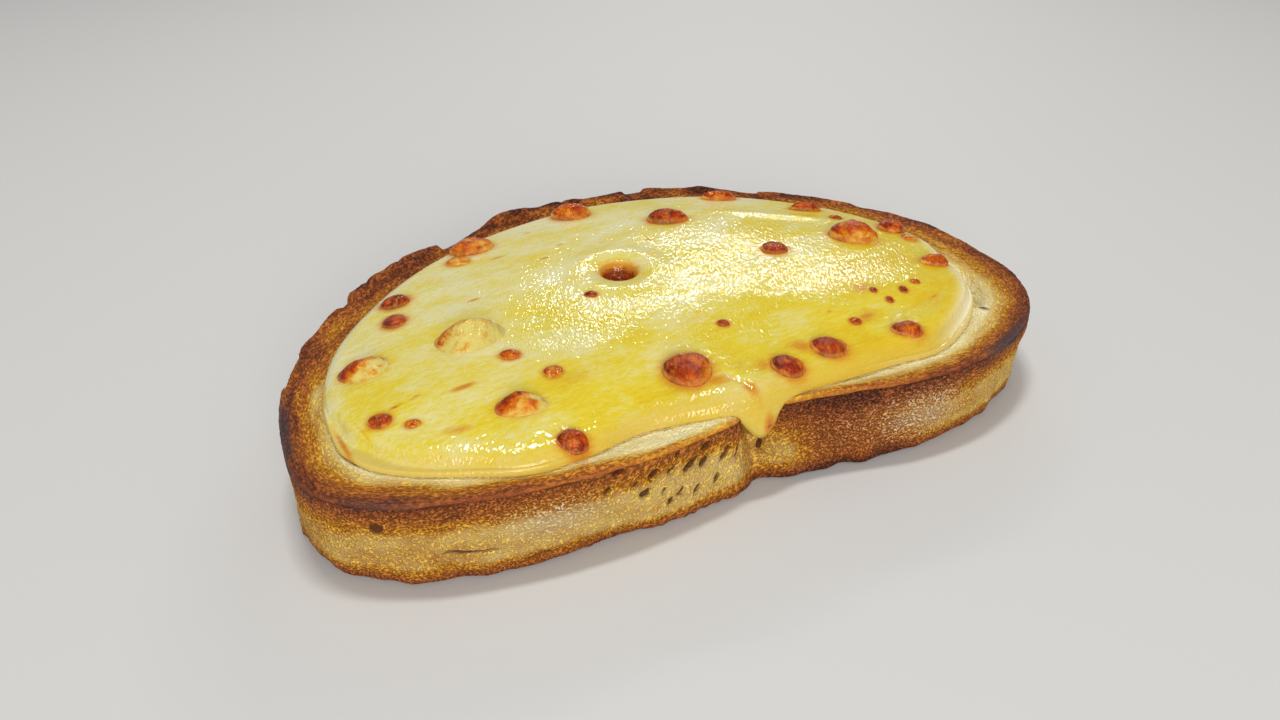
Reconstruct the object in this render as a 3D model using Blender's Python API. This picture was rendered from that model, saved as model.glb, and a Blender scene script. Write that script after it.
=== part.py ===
"""Welsh rarebit: a thick slice of toasted farmhouse bread under a blistered cheese sauce.

Metres, +Z up, one object for the toast and one for the cheese sauce. The slice lies on its flat cut
face. Its length runs along X, its flat notched side faces -Y and its domed side faces +Y.
Sizes are held in millimetres and turned into metres when a mesh is made. A bearing is an angle in
degrees seen from above, anticlockwise from +X: 0 is the right end, 90 the dome, 270 the notch.
"""

import math

import bmesh
import bpy
import numpy as np

MM = 0.001

# The slice of bread
SLICE_LENGTH = 160.0
SLICE_THICKNESS = 17.3
TIP_LEVEL = -17.3            # y of the widest line of the slice at x = 0
TIP_SLANT = 3.6              # the right end sits higher and the left end lower by this much
DOME_RISE = 67.3
DOME_ROUNDNESS = (2.07, 1.87)        # superellipse exponents, left and right
FRONT_DEPTH = (29.9, 39.8)           # left lobe and right lobe
FRONT_ROUNDNESS = 2.8
WAIST_DEPTH, WAIST_X, WAIST_WIDTH = 6.6, 6.9, 24.7
OUTLINE_CENTRE_Y = -10.0             # bearings are taken about this point of the y axis

# The crease at the waist, with the chute that the sauce runs down
CREASE_X = -0.6
CREASE_HALF_WIDTH = 6.3
CREASE_DEPTH_FOOT, CREASE_DEPTH_TOP = 2.0, 4.2
CHUTE_DROP = 6.0
CHUTE_START_Y, CHUTE_END_Y = -35.0, -44.5
CHUTE_FILL = 0.93                    # the share of the chute that the sauce goes down

# Crust: the height of its lip above the crumb, as (bearing, height)
CRUST_LIP = (
    (0, 0.6), (14, 1.2), (24, 0.8), (45, 1.0), (75, 1.3), (98, 1.5), (111, 2.3), (122, 1.4), (140, 1.0),
    (155, 0.9), (172, 1.0), (190, 0.1), (240, 0.0), (310, 0.0), (340, 0.4),
)
# Raised flakes of the lip, as (first bearing, last bearing, height, first and last taper)
FLAKES = (
    (21.0, 43.8, 0.8, 3.0, 1.0),
    (46.0, 71.5, 0.8, 10.0, 1.2),
    (75.0, 115.0, 1.1, 1.2, 5.0),
    (125.5, 151.5, 1.5, 1.2, 2.0),
    (152.5, 167.5, 0.8, 2.0, 1.5),
    (174.5, 205.0, 0.8, 1.5, 22.0),
)
FLAKE_OVERHANG = 0.55                # how far a flake leans out, for each unit of its height
# The foot juts out past the rim by this much, as (bearing, reach)
FOOT_REACH = (
    (0, -0.2), (90, 0.2), (170, 0.2), (187, -0.7), (200, 0.2), (216, 0.9), (225, 0.2), (233, -0.6),
    (239, 0.4), (256, 1.4), (268, 2.1), (285, 2.5), (294, 1.9), (306, 0.9), (320, -0.2), (340, -0.6),
)
# Chips of the lower edge, as (bearing, reach outwards, width in degrees)
CHIPS = ((191.0, 1.1, 3.0), (207.0, 0.8, 2.2), (299.0, 0.6, 2.0), (335.0, 0.5, 3.0))
# Rings of the side wall, as (height, inset from the outline)
WALL_LEVELS = ((0.0, 1.0), (0.5, 0.2), (2.5, 0.0), (6.5, -0.1), (10.5, -0.1), (14.0, 0.0), (16.3, 0.1))
WALL_WAVE = 0.45
# Rings of the top face, as their inset from the outline
TOP_INSETS = (0.9, 2.2, 4.2, 6.2, 8.4, 10.8, 13.2, 16.0)
RIM_SAG = 0.35                       # the crumb lies this much lower than the crust

# Hollows of the crumb beside the sauce, as (x, y, bearing of its length, half length, half width, depth)
AIR_HOLES = (
    (66.5, -27.0, 62.0, 9.0, 3.6, 3.6),
    (-70.0, -25.0, 102.0, 6.5, 2.0, 1.3),
)

# Cheese sauce: the width of bare rim round it at each bearing
RIM_BAND = (
    (0, 12.0), (20, 11.5), (45, 10.0), (70, 9.3), (90, 8.2), (112, 8.2), (135, 8.3), (155, 8.3),
    (170, 7.2), (182, 7.5), (190, 9.6), (197, 10.2), (203, 8.2), (213, 5.6), (220, 3.4), (228, 4.3),
    (238, 6.2), (248, 4.8), (257, 2.4), (264, 0.9), (270, 0.2), (277, 0.7), (285, 1.8), (296, 3.4),
    (307, 5.9), (315, 6.2), (324, 8.6), (332, 10.6), (342, 13.0), (351, 14.0),
)
SAUCE_CENTRE = (0.0, -4.0)
SAUCE_EDGE_HEIGHT, SAUCE_EDGE_RUN = 4.6, 4.4
SAUCE_LIP_HEIGHT, SAUCE_UNDERCUT = 1.3, 0.5
SAUCE_CROWN = 1.3
JOINT_GAP = 0.3
# Smooth swells and troughs, as (x, y, bearing of its length, half length, half width, height)
SWELLS = (
    (-46.0, -36.5, -12.0, 22.0, 3.6, -0.9),
    (-24.0, -37.5, 12.0, 12.0, 3.4, -0.6),
    (38.0, -33.5, 12.0, 16.0, 3.4, -0.9),
    (0.0, -30.0, 90.0, 11.0, 3.6, -1.3),
    (-8.0, -31.0, 100.0, 8.0, 4.0, 0.7),
    (7.5, -33.0, 80.0, 8.0, 4.0, 0.6),
    (38.0, 17.5, -28.0, 20.0, 5.0, 0.9),
    (30.0, 4.0, -14.0, 22.0, 5.0, -0.6),
    (24.0, -12.0, 0.0, 24.0, 6.0, 0.5),
    (-30.0, 5.0, 40.0, 22.0, 9.0, 0.5),
)
# The burst crater
CRATER_X, CRATER_Y = -6.5, 3.5
CRATER_RADIUS, CRATER_DEPTH, CRATER_RING = 4.6, 3.4, 0.8
# Blisters, as (x, y, diameter, height)
BLISTERS = (
    (-6.5, 33.0, 9.2, 2.3), (-32.5, 26.5, 8.4, 2.2), (-37.0, 22.0, 5.7, 1.3), (-53.7, 10.0, 6.0, 1.8),
    (-55.3, 2.8, 5.0, 1.4), (-63.6, -10.6, 9.4, 2.4), (-44.0, -9.4, 13.7, 2.2), (-38.7, -18.8, 3.8, 1.0),
    (-41.8, -33.0, 8.8, 2.3), (-63.8, -26.6, 3.8, 1.0), (-35.8, -42.8, 5.2, 1.4), (13.9, 21.3, 10.2, 2.6),
    (32.6, 28.2, 7.2, 1.8), (49.0, 14.0, 7.0, 1.7), (48.4, -5.5, 11.2, 2.9), (59.4, -5.0, 7.2, 1.8),
    (58.9, -21.2, 6.6, 1.6), (29.3, -2.1, 6.0, 1.3), (35.2, -40.0, 6.8, 1.8), (17.4, -39.2, 7.6, 2.0),
    (6.6, -41.6, 6.6, 1.8), (-11.6, -36.8, 9.5, 2.4), (38.6, -31.0, 2.8, 0.8), (48.5, -27.0, 2.8, 0.8),
)
BLISTER_SIDES, BLISTER_RINGS = 12, 8

# Fineness of the two solids
RIM_SEGMENTS = 176
SAUCE_CELLS_X, SAUCE_CELLS_Y = 46, 30


def ease(t):
    """Runs smoothly from 0 to 1 while t does, and stays there."""
    t = np.clip(t, 0.0, 1.0)
    return t * t * (3.0 - 2.0 * t)


def round_trip(bearings, stations):
    """Reads a value that changes smoothly round the slice from its (bearing, value) stations."""
    angles = np.array([angle for angle, _ in stations], dtype=float)
    values = np.array([value for _, value in stations], dtype=float)
    count = len(stations)
    index = (np.searchsorted(angles, bearings, side="right") - 1) % count
    after = (index + 1) % count
    span = (angles[after] - angles[index]) % 360.0
    t = ((bearings - angles[index]) % 360.0) / span
    slope = (np.roll(values, -1) - np.roll(values, 1)) / ((np.roll(angles, -1) - np.roll(angles, 1)) % 360.0)
    start, end = values[index], values[after]
    return (
        start * (1.0 + 2.0 * t) * (1.0 - t) ** 2
        + end * t * t * (3.0 - 2.0 * t)
        + span * t * (1.0 - t) * (slope[index] * (1.0 - t) - slope[after] * t)
    )


def bearing_of(x, y):
    """Returns the bearing of a point about the slice's centre."""
    return np.degrees(np.arctan2(y - OUTLINE_CENTRE_Y, x)) % 360.0


def superellipse(t, exponent):
    """Height of a unit superellipse at t, from 1 in the middle to 0 at both ends."""
    return np.maximum(1.0 - np.abs(t) ** exponent, 0.0) ** (1.0 / exponent)


def rim_outline(count):
    """Returns evenly spaced points round the rim, anticlockwise, with their outward normals."""
    t = np.sin(np.linspace(-0.5 * math.pi, 0.5 * math.pi, 2400))
    to_right = 0.5 + 0.5 * np.tanh(2.0 * t)
    tip_line = TIP_LEVEL + TIP_SLANT * t
    depth = FRONT_DEPTH[0] + (FRONT_DEPTH[1] - FRONT_DEPTH[0]) * to_right
    roundness = DOME_ROUNDNESS[0] + (DOME_ROUNDNESS[1] - DOME_ROUNDNESS[0]) * to_right
    x = 0.5 * SLICE_LENGTH * t
    waist = WAIST_DEPTH * np.exp(-(((x - WAIST_X) / WAIST_WIDTH) ** 2)) * superellipse(t, 4.0)
    front = np.column_stack((x, tip_line - depth * superellipse(t, FRONT_ROUNDNESS) + waist))
    back = np.column_stack((x, tip_line + DOME_RISE * superellipse(t, roundness)))
    loop = np.vstack((front[:-1], back[:0:-1]))
    closed = np.vstack((loop, loop[:1]))
    run = np.concatenate(([0.0], np.cumsum(np.hypot(*np.diff(closed, axis=0).T))))
    stops = np.linspace(0.0, run[-1], count, endpoint=False)
    points = np.column_stack([np.interp(stops, run, closed[:, axis]) for axis in (0, 1)])
    along = np.roll(points, -1, axis=0) - np.roll(points, 1, axis=0)
    normals = np.column_stack((along[:, 1], -along[:, 0]))
    return points, normals / np.hypot(*normals.T)[:, None]


def crease_share(x):
    """Returns 1 in the middle of the crease and 0 beside it."""
    return np.clip(1.0 - np.abs(x - CREASE_X) / CREASE_HALF_WIDTH, 0.0, 1.0) ** 0.9


def chute(x, y):
    """Returns how far the top of the bread drops where the sauce runs over at the crease."""
    return CHUTE_DROP * crease_share(x) * ease((CHUTE_START_Y - y) / (CHUTE_START_Y - CHUTE_END_Y))


def turned(x, y, place):
    """Returns a point's position along and across an oval, in units of its half length and width."""
    centre_x, centre_y, angle, half_length, half_width = place
    cosine, sine = math.cos(math.radians(angle)), math.sin(math.radians(angle))
    along = ((x - centre_x) * cosine + (y - centre_y) * sine) / half_length
    across = ((y - centre_y) * cosine - (x - centre_x) * sine) / half_width
    return along, across


def air_holes(x, y):
    """Returns the depth of the hollows in the crumb."""
    depth = np.zeros_like(x)
    for *place, hole_depth in AIR_HOLES:
        along, across = turned(x, y, place)
        depth += hole_depth * (1.0 - ease(np.hypot(along, across) * 1.25 - 0.25))
    return depth


def flake_height(bearings):
    """Returns the height of the crust's lip, with its raised flakes, at each bearing."""
    height = round_trip(bearings, CRUST_LIP)
    for first, last, rise, taper_first, taper_last in FLAKES:
        height += rise * ease((bearings - first) / taper_first) * ease((last - bearings) / taper_last)
    return height


def foot_reach(bearings):
    """Returns how far the lower edge juts out past the rim."""
    reach = round_trip(bearings, FOOT_REACH)
    for middle, size, width in CHIPS:
        gap = (bearings - middle + 180.0) % 360.0 - 180.0
        reach += size * np.exp(-((gap / width) ** 2))
    return reach


def toast_rings():
    """Lays out the bread as rings of points, from the cut face it rests on up to its top face."""
    points, normals = rim_outline(RIM_SEGMENTS)
    bearings = bearing_of(*points.T)
    turn = np.radians(bearings)
    flakes = flake_height(bearings)
    foot = foot_reach(bearings)
    crease = crease_share(points[:, 0]) * (points[:, 1] < OUTLINE_CENTRE_Y)
    rings = []
    for level, inset in WALL_LEVELS:
        up = level / SLICE_THICKNESS
        wave = WALL_WAVE * (np.sin(9.0 * turn + 0.3 * level) + 0.6 * np.sin(23.0 * turn - 0.5 * level))
        groove = crease * (CREASE_DEPTH_FOOT + (CREASE_DEPTH_TOP - CREASE_DEPTH_FOOT) * up)
        reach = (
            foot * float(ease((12.0 - level) / 12.0))
            + FLAKE_OVERHANG * flakes * float(ease((level - 10.0) / 6.0))
            + wave * math.sin(math.pi * up)
            - inset
            - groove
        )
        place = points + normals * reach[:, None]
        drop = chute(points[:, 0], np.minimum(points[:, 1], CHUTE_END_Y)) * crease
        height = level * (SLICE_THICKNESS - drop) / SLICE_THICKNESS
        rings.append(np.column_stack((place, height)))
    for inset in TOP_INSETS:
        outer_share = 1.0 - inset / TOP_INSETS[-1]
        lean = FLAKE_OVERHANG * flakes * outer_share**4
        reach = lean - CREASE_DEPTH_TOP * crease * outer_share - inset
        x, y = (points + normals * reach[:, None]).T
        crust = flakes * float(ease((4.0 - inset) / 4.0)) - RIM_SAG * float(ease((inset - 1.0) / 4.0))
        height = SLICE_THICKNESS + crust - chute(x, y) - air_holes(x, y)
        rings.append(np.column_stack((x, y, height)))
    return rings


def closed_loft(name, rings):
    """Skins a stack of rings, closes both ends and returns the object."""
    shape = bmesh.new()
    count = len(rings[0])
    loops = [[shape.verts.new(point * MM) for point in ring] for ring in rings]
    for lower, upper in zip(loops, loops[1:]):
        for i in range(count):
            j = (i + 1) % count
            shape.faces.new((lower[i], lower[j], upper[j], upper[i]))
    shape.faces.new(loops[0][::-1])
    shape.faces.new(loops[-1])
    return finished(name, shape)


def finished(name, shape):
    """Turns a bmesh into triangles with their faces outwards and links it as an object."""
    bmesh.ops.recalc_face_normals(shape, faces=shape.faces[:])
    bmesh.ops.triangulate(shape, faces=shape.faces[:], quad_method="BEAUTY", ngon_method="BEAUTY")
    mesh = bpy.data.meshes.new(name)
    shape.to_mesh(mesh)
    shape.free()
    mesh.shade_smooth()
    solid = bpy.data.objects.new(name, mesh)
    bpy.context.scene.collection.objects.link(solid)
    return solid


def sauce_radius(bearings):
    """Returns the distance from the middle of the sauce to its edge at each bearing."""
    points, normals = rim_outline(720)
    band = round_trip(bearing_of(*points.T), RIM_BAND)
    edge_x, edge_y = (points - normals * band[:, None]).T
    from_middle = np.degrees(np.arctan2(edge_y - SAUCE_CENTRE[1], edge_x - SAUCE_CENTRE[0])) % 360.0
    reach = np.hypot(edge_x - SAUCE_CENTRE[0], edge_y - SAUCE_CENTRE[1])
    order = np.argsort(from_middle)
    return np.interp(bearings, from_middle[order], reach[order], period=360.0)


def sauce_thickness(x, y, to_edge):
    """Returns the thickness of the sauce at a point that lies to_edge from its edge."""
    roll = np.sqrt(np.clip(1.0 - (1.0 - np.clip(to_edge / SAUCE_EDGE_RUN, 0.0, 1.0)) ** 2, 0.0, 1.0))
    inside = ease(to_edge / 7.0)
    thickness = SAUCE_LIP_HEIGHT + (SAUCE_EDGE_HEIGHT - SAUCE_LIP_HEIGHT) * roll
    thickness += SAUCE_CROWN * ease(to_edge / 30.0)
    for *place, height in SWELLS:
        along, across = turned(x, y, place)
        thickness += height * inside * np.exp(-(along**2) - across**2)
    from_crater = np.hypot(x - CRATER_X, y - CRATER_Y) / CRATER_RADIUS
    thickness += CRATER_RING * np.exp(-(((from_crater - 1.6) / 0.45) ** 2))
    thickness -= CRATER_DEPTH * np.exp(-(from_crater**4))
    return thickness


def bread_top(x, y):
    """Returns the height of the bread under the sauce, its hollows spanned."""
    return SLICE_THICKNESS - CHUTE_FILL * chute(x, y)


def sauce_sheet():
    """Makes the sauce without its blisters: a grid cast to the outline, with a face underneath."""
    shape = bmesh.new()
    bmesh.ops.create_grid(shape, x_segments=SAUCE_CELLS_X, y_segments=SAUCE_CELLS_Y, size=1.0)
    edge = {vert for side in shape.edges if side.is_boundary for vert in side.verts}
    top = list(shape.verts)
    on_edge = np.array([vert in edge for vert in top])
    u, v = np.array([vert.co.xy for vert in top]).T
    disc_x, disc_y = u * np.sqrt(1.0 - 0.5 * v * v), v * np.sqrt(1.0 - 0.5 * u * u)
    outwards = np.hypot(disc_x, disc_y)
    direction = np.arctan2(disc_y, disc_x)
    share = 1.0 - (1.0 - outwards) ** 1.15
    radius = sauce_radius(np.degrees(direction) % 360.0)
    x = SAUCE_CENTRE[0] + share * radius * np.cos(direction)
    y = SAUCE_CENTRE[1] + share * radius * np.sin(direction)
    foot = bread_top(x, y) + JOINT_GAP
    thickness = sauce_thickness(x, y, (1.0 - share) * radius)

    faces = shape.faces[:]
    bmesh.ops.extrude_face_region(shape, geom=faces + shape.edges[:] + top)
    under = [vert for vert in shape.verts if vert not in set(top)]
    shape.verts.ensure_lookup_table()
    lower = {tuple(np.round(vert.co.xy, 5)): vert for vert in under}
    for i, vert in enumerate(top):
        below = lower[tuple(np.round(vert.co.xy, 5))]
        draw_in = SAUCE_UNDERCUT if on_edge[i] else 0.0
        step = np.array([math.cos(direction[i]), math.sin(direction[i])]) * draw_in
        below.co = (MM * (x[i] - step[0]), MM * (y[i] - step[1]), MM * foot[i])
        vert.co = (MM * x[i], MM * y[i], MM * (foot[i] + thickness[i]))
    return shape


def make_sauce():
    """Makes the cheese sauce, with its blisters joined on."""
    sauce = finished("cheese_sauce", sauce_sheet())
    domes = bpy.data.collections.new("blisters")
    for x, y, diameter, height in BLISTERS:
        radius = sauce_radius(np.degrees(np.arctan2(y - SAUCE_CENTRE[1], x - SAUCE_CENTRE[0])) % 360.0)
        to_edge = radius - math.hypot(x - SAUCE_CENTRE[0], y - SAUCE_CENTRE[1])
        level = float(bread_top(x, y) + JOINT_GAP + sauce_thickness(x, y, to_edge))
        dome = bmesh.new()
        bmesh.ops.create_uvsphere(dome, u_segments=BLISTER_SIDES, v_segments=BLISTER_RINGS, radius=1.0)
        for vert in dome.verts:
            vert.co = (
                MM * (x + 0.5 * diameter * vert.co.x),
                MM * (y + 0.5 * diameter * vert.co.y),
                MM * (level + height * vert.co.z),
            )
        blister = finished("blister", dome)
        bpy.context.scene.collection.objects.unlink(blister)
        domes.objects.link(blister)
    join = sauce.modifiers.new("blisters", "BOOLEAN")
    join.operation = "UNION"
    join.operand_type = "COLLECTION"
    join.collection = domes
    joined = bpy.data.meshes.new_from_object(sauce.evaluated_get(bpy.context.evaluated_depsgraph_get()))
    sauce.modifiers.clear()
    sauce.data = joined
    for blister in list(domes.objects):
        bpy.data.objects.remove(blister)
    bpy.data.collections.remove(domes)
    return sauce


def finish_material(name, colour, roughness):
    """Returns a Principled material of one colour."""
    material = bpy.data.materials.new(name)
    material.use_nodes = True
    shader = material.node_tree.nodes["Principled BSDF"]
    shader.inputs["Base Color"].default_value = (*colour, 1.0)
    shader.inputs["Roughness"].default_value = roughness
    shader.inputs["Metallic"].default_value = 0.0
    return material


def main():
    """Clears the scene and makes the two solids."""
    for old in list(bpy.data.objects):
        bpy.data.objects.remove(old)
    toast = closed_loft("toast_slice", toast_rings())
    toast.data.materials.append(finish_material("toast", (0.42, 0.21, 0.07), 0.75))
    sauce = make_sauce()
    sauce.data.materials.clear()
    sauce.data.materials.append(finish_material("cheese", (0.72, 0.52, 0.09), 0.3))


main()
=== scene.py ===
"""Welsh rarebit: a thick slice of toasted farmhouse bread under a set, blistered cheese sauce.

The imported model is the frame: metres, +Z up, the notched side of the slice towards -Y, its dome
towards +Y and its length along X. The shapes are worked out in millimetres and made metres when a
mesh is laid out. A bearing is an angle in degrees seen from above, anticlockwise from +X.
"""

import math

import bpy
import numpy as np
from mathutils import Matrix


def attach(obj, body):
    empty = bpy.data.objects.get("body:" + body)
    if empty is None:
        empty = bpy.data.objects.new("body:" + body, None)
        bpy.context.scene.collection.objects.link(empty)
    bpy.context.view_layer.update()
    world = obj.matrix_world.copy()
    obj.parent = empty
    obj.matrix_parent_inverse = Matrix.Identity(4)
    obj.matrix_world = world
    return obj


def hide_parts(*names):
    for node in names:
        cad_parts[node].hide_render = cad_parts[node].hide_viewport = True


bl_info = {
    "name": "Welsh rarebit",
    "version": (1, 0, 0),
    "blender": (4, 5, 0),
    "location": "3D View > Sidebar > Rarebit",
    "description": "Toasted bread, cheese sauce and blisters modelled round a packed frame",
    "category": "Add Mesh",
}

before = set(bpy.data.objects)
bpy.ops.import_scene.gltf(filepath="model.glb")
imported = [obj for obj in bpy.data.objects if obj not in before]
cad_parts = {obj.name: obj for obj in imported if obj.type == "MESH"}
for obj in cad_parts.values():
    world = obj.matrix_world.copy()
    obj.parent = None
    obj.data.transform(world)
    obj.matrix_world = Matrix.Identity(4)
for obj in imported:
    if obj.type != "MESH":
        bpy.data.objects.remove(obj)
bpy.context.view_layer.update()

MM = 0.001

# ---- the slice: the frame's outline, with relief a little finer than the frame's
SLICE_LENGTH = 160.0
SLICE_THICKNESS = 17.3
TIP_LEVEL = -17.3
TIP_SLANT = 3.6
DOME_RISE = 67.3
DOME_ROUNDNESS = (2.07, 1.87)
FRONT_DEPTH = (29.9, 39.8)
FRONT_ROUNDNESS = 2.8
WAIST_DEPTH, WAIST_X, WAIST_WIDTH = 6.6, 6.9, 24.7
OUTLINE_CENTRE_Y = -10.0
# Points that the outline and the edge of the sauce are read from, and cells along each side of the noise
OUTLINE_SAMPLES, EDGE_SAMPLES, GRAIN_CELLS = 2400, 1440, 32

CREASE_X = -0.6
CREASE_HALF_WIDTH = 6.3
CREASE_DEPTH_FOOT, CREASE_DEPTH_TOP = 2.0, 4.2
CHUTE_DROP = 6.0
CHUTE_START_Y, CHUTE_END_Y = -35.0, -44.5

# Height of the crust's lip, as (bearing, height)
CRUST_LIP = (
    (0, 0.6), (14, 1.2), (24, 0.8), (45, 1), (56, 1.6), (71, 2.1), (78, 1.6), (98, 1.9), (112, 2.5),
    (118, 1.3), (124, 0.1), (129, 0.8), (140, 1), (155, 0.9), (172, 1), (190, 0.1), (240, 0), (310, 0),
    (340, 0.4),
)
# Raised flakes of the lip, as (first bearing, last bearing, height, taper at each end)
FLAKES = (
    (21, 43.8, 0.8, 3, 1), (46, 71.5, 0.8, 10, 1.2), (75, 115, 1.1, 1.2, 5), (125.5, 151.5, 1.8, 1.2, 2),
    (152.5, 167.5, 0.8, 2, 1.5), (174.5, 205, 0.8, 1.5, 22),
)
FLAKE_OVERHANG = 0.55
# How far the lower edge juts out past the rim, as (bearing, distance)
FOOT_REACH = (
    (0, -0.2), (90, 0.2), (170, 0.2), (187, -0.7), (200, 0.2), (216, 0.9), (225, 0.2), (233, -0.6),
    (239, 0.4), (256, 1.4), (268, 2.1), (285, 2.5), (294, 1.9), (306, 0.9), (320, -0.2), (340, -0.6),
)
# Ragged points of the lower edge, as (bearing, size, half width)
CHIPS = (
    (191, 1.1, 3), (189.5, 1.2, 1), (207, 0.8, 2.2), (299, 0.6, 2), (335, 0.5, 3),
)
WALL_WAVE = 0.45
RIM_SAG = 0.35
# Hollows in the crumb, as (x, y, bearing, half length, half width, depth)
AIR_HOLES = (
    (65, -26, 63, 10, 4.6, 5), (-70, -25, 102, 6.5, 2, 0.4),
)

# ---- the sauce: the frame's edge, with swells and blisters a little finer than the frame's
# Width of the rim that the sauce leaves bare, as (bearing, width)
RIM_BAND = (
    (0, 12.8), (20, 11.8), (45, 10), (70, 9.3), (90, 8.2), (112, 8.2), (135, 8.3), (155, 8.3), (170, 7.2),
    (182, 7.5), (190, 8.2), (197, 8.8), (203, 7.9), (213, 5.6), (220, 3.4), (228, 4.3), (238, 6.2),
    (248, 4.8), (257, 2.4), (264, 0.9), (270, 0.2), (277, 0.7), (285, 1.8), (296, 3.4), (307, 5.9),
    (315, 6.2), (324, 8.6), (332, 11), (342, 14), (351, 15),
)
SAUCE_CENTRE = (0.0, -4.0)
# Height of the sauce's rounded edge above the bread, as (bearing, height)
SAUCE_EDGE = (
    (0, 3.9), (30, 3.8), (60, 4.3), (120, 4.3), (150, 4), (170, 3.2), (185, 2.7), (200, 2.4), (230, 2.4),
    (248, 2.7), (262, 3.5), (270, 3.9), (278, 3.6), (290, 3), (315, 3), (340, 3.7),
)
SAUCE_EDGE_RUN = 3.6
SAUCE_LIP_HEIGHT = 1.3
SAUCE_MIDDLE, SAUCE_RISE_RUN = 6.3, 34.0
JOINT_GAP = 0.3
# Swells and dips of the sauce, as (x, y, bearing, half length, half width, height)
SWELLS = (
    (38, -34.5, 14, 15, 4.4, -0.7), (0, -35, 90, 8, 3.8, -0.6), (-8, -35, 100, 6, 4.4, 0.35),
    (7.5, -35, 80, 6, 4.4, 0.3), (40, 12.5, -34, 14.8, 1.7, 0.36), (24, -12, 0, 24, 6, 0.15),
)
# The crater: its middle, the radius and depth of its pit, and those of the wide dish round it
CRATER_X, CRATER_Y = -7.1, 2.8
PIT_RADIUS, PIT_DEPTH = 3.6, 2.8
DISH_RADIUS, DISH_DEPTH, DISH_RIM = 8.5, 0.9, 0.35

# Blisters, as (x, y, length, width, bearing, height, depth of browning, share of the front left pale as
# painted light)
BLISTERS = (
    (-5.4, 35.3, 9.6, 6.4, -18, 2.98, 0.42, 0), (13.9, 21.3, 9.6, 5.8, -21, 2.7, 0.56, 0),
    (-32.6, 28.6, 9.9, 7.2, -11, 2.47, 0.42, 0), (-37, 23.4, 5.3, 4.7, -13, 0.97, 0.32, 0),
    (-53.5, 11.9, 6, 5, 1, 1.49, 0.6, 0), (-55.3, 4, 4.7, 5, -11, 1.19, 0.6, 0),
    (-64, -9.3, 9.1, 7.1, -5, 2.2, 0.5, 0.7), (-43.9, -10.1, 13.2, 9.6, -3, 3.97, 0.25, 0.9),
    (-38.9, -19, 4, 2.9, -22, 0.95, 0.45, 0), (-41.7, -32.7, 8.9, 5.4, -15, 2.4, 0.55, 0.7),
    (-36.3, -43, 5.2, 3.8, -19, 1.4, 0.62, 0.1), (-10.6, -35.3, 8.9, 8.4, -27, 2.3, 0.53, 0),
    (32.9, 29.3, 8.5, 3.6, -26, 2.12, 0.5, 0), (48.8, 14, 7.6, 2.7, -29, 1.89, 0.52, 0),
    (48.6, -5.3, 11.1, 7.6, -42, 3.9, 0.42, 0.1), (61.4, -3.5, 6.4, 6.1, -26, 2.32, 0.5, 0),
    (62, -9.6, 3.9, 4, -19, 0.7, 0.3, 0), (58.9, -21.7, 6.5, 3.8, -16, 2.01, 0.46, 0),
    (35.9, -40.6, 6.7, 4.3, -20, 1.6, 0.6, 0.3), (17.8, -39.6, 7.1, 5.3, -26, 1.77, 0.55, 0),
    (7.1, -41.4, 6.4, 5.2, -19, 1.6, 0.55, 0), (28.3, -3.5, 5.8, 5.4, -30, 1.4, 0.6, 0),
    (2.5, -25.5, 2.6, 2, -26, 0.78, 0.55, 0), (-16.9, -5, 2.7, 2, -26, 0.67, 0.6, 0),
    (-33.5, -27, 3.6, 3.4, -18, 0.6, 0.36, 0), (-64.3, -25, 4.1, 3.2, -22, 0.83, 0.5, 0),
    (-59.5, -28.4, 2.6, 1.8, -20, 0.49, 0.46, 0), (48.3, -27.6, 2.1, 1.3, -26, 0.6, 0.6, 0),
    (43.9, -29.2, 1.9, 2.1, -26, 0.53, 0.6, 0), (38.8, -31.1, 1.7, 1.9, -26, 0.46, 0.55, 0),
    (37.3, -27.5, 1.6, 1.8, -26, 0.46, 0.6, 0), (27.4, -34.8, 2.5, 1.8, -26, 0.74, 0.55, 0),
    (-6.5, 4, 4, 3.6, -26, 1.26, 0.66, 0), (52.5, 6.4, 3.1, 2.5, -42, 0.66, 0.5, 0),
)


# ---- shape helpers
def ease(t):
    """Runs smoothly from 0 to 1 while t does, and stays there."""
    t = np.clip(t, 0.0, 1.0)
    return t * t * (3.0 - 2.0 * t)


def hump(distance, width):
    """Returns a smooth hump of height 1 about distance 0."""
    return np.exp(-((distance / width) ** 2))


def round_trip(bearings, stations):
    """Reads a value that changes smoothly round the slice from its (bearing, value) stations."""
    angles, values = np.array(stations, dtype=float).T
    count = len(stations)
    index = (np.searchsorted(angles, bearings, side="right") - 1) % count
    after = (index + 1) % count
    span = (angles[after] - angles[index]) % 360.0
    t = ((bearings - angles[index]) % 360.0) / span
    slope = (np.roll(values, -1) - np.roll(values, 1)) / ((np.roll(angles, -1) - np.roll(angles, 1)) % 360.0)
    start, end = values[index], values[after]
    return (
        start * (1.0 + 2.0 * t) * (1.0 - t) ** 2
        + end * t * t * (3.0 - 2.0 * t)
        + span * t * (1.0 - t) * (slope[index] * (1.0 - t) - slope[after] * t)
    )


def bearing_of(x, y):
    """Returns the bearing of a point about the slice's centre."""
    return np.degrees(np.arctan2(y - OUTLINE_CENTRE_Y, x)) % 360.0


def bearing_gap(bearings, middle):
    """Returns the signed difference between bearings, from -180 to 180."""
    return (bearings - middle + 180.0) % 360.0 - 180.0


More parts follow.
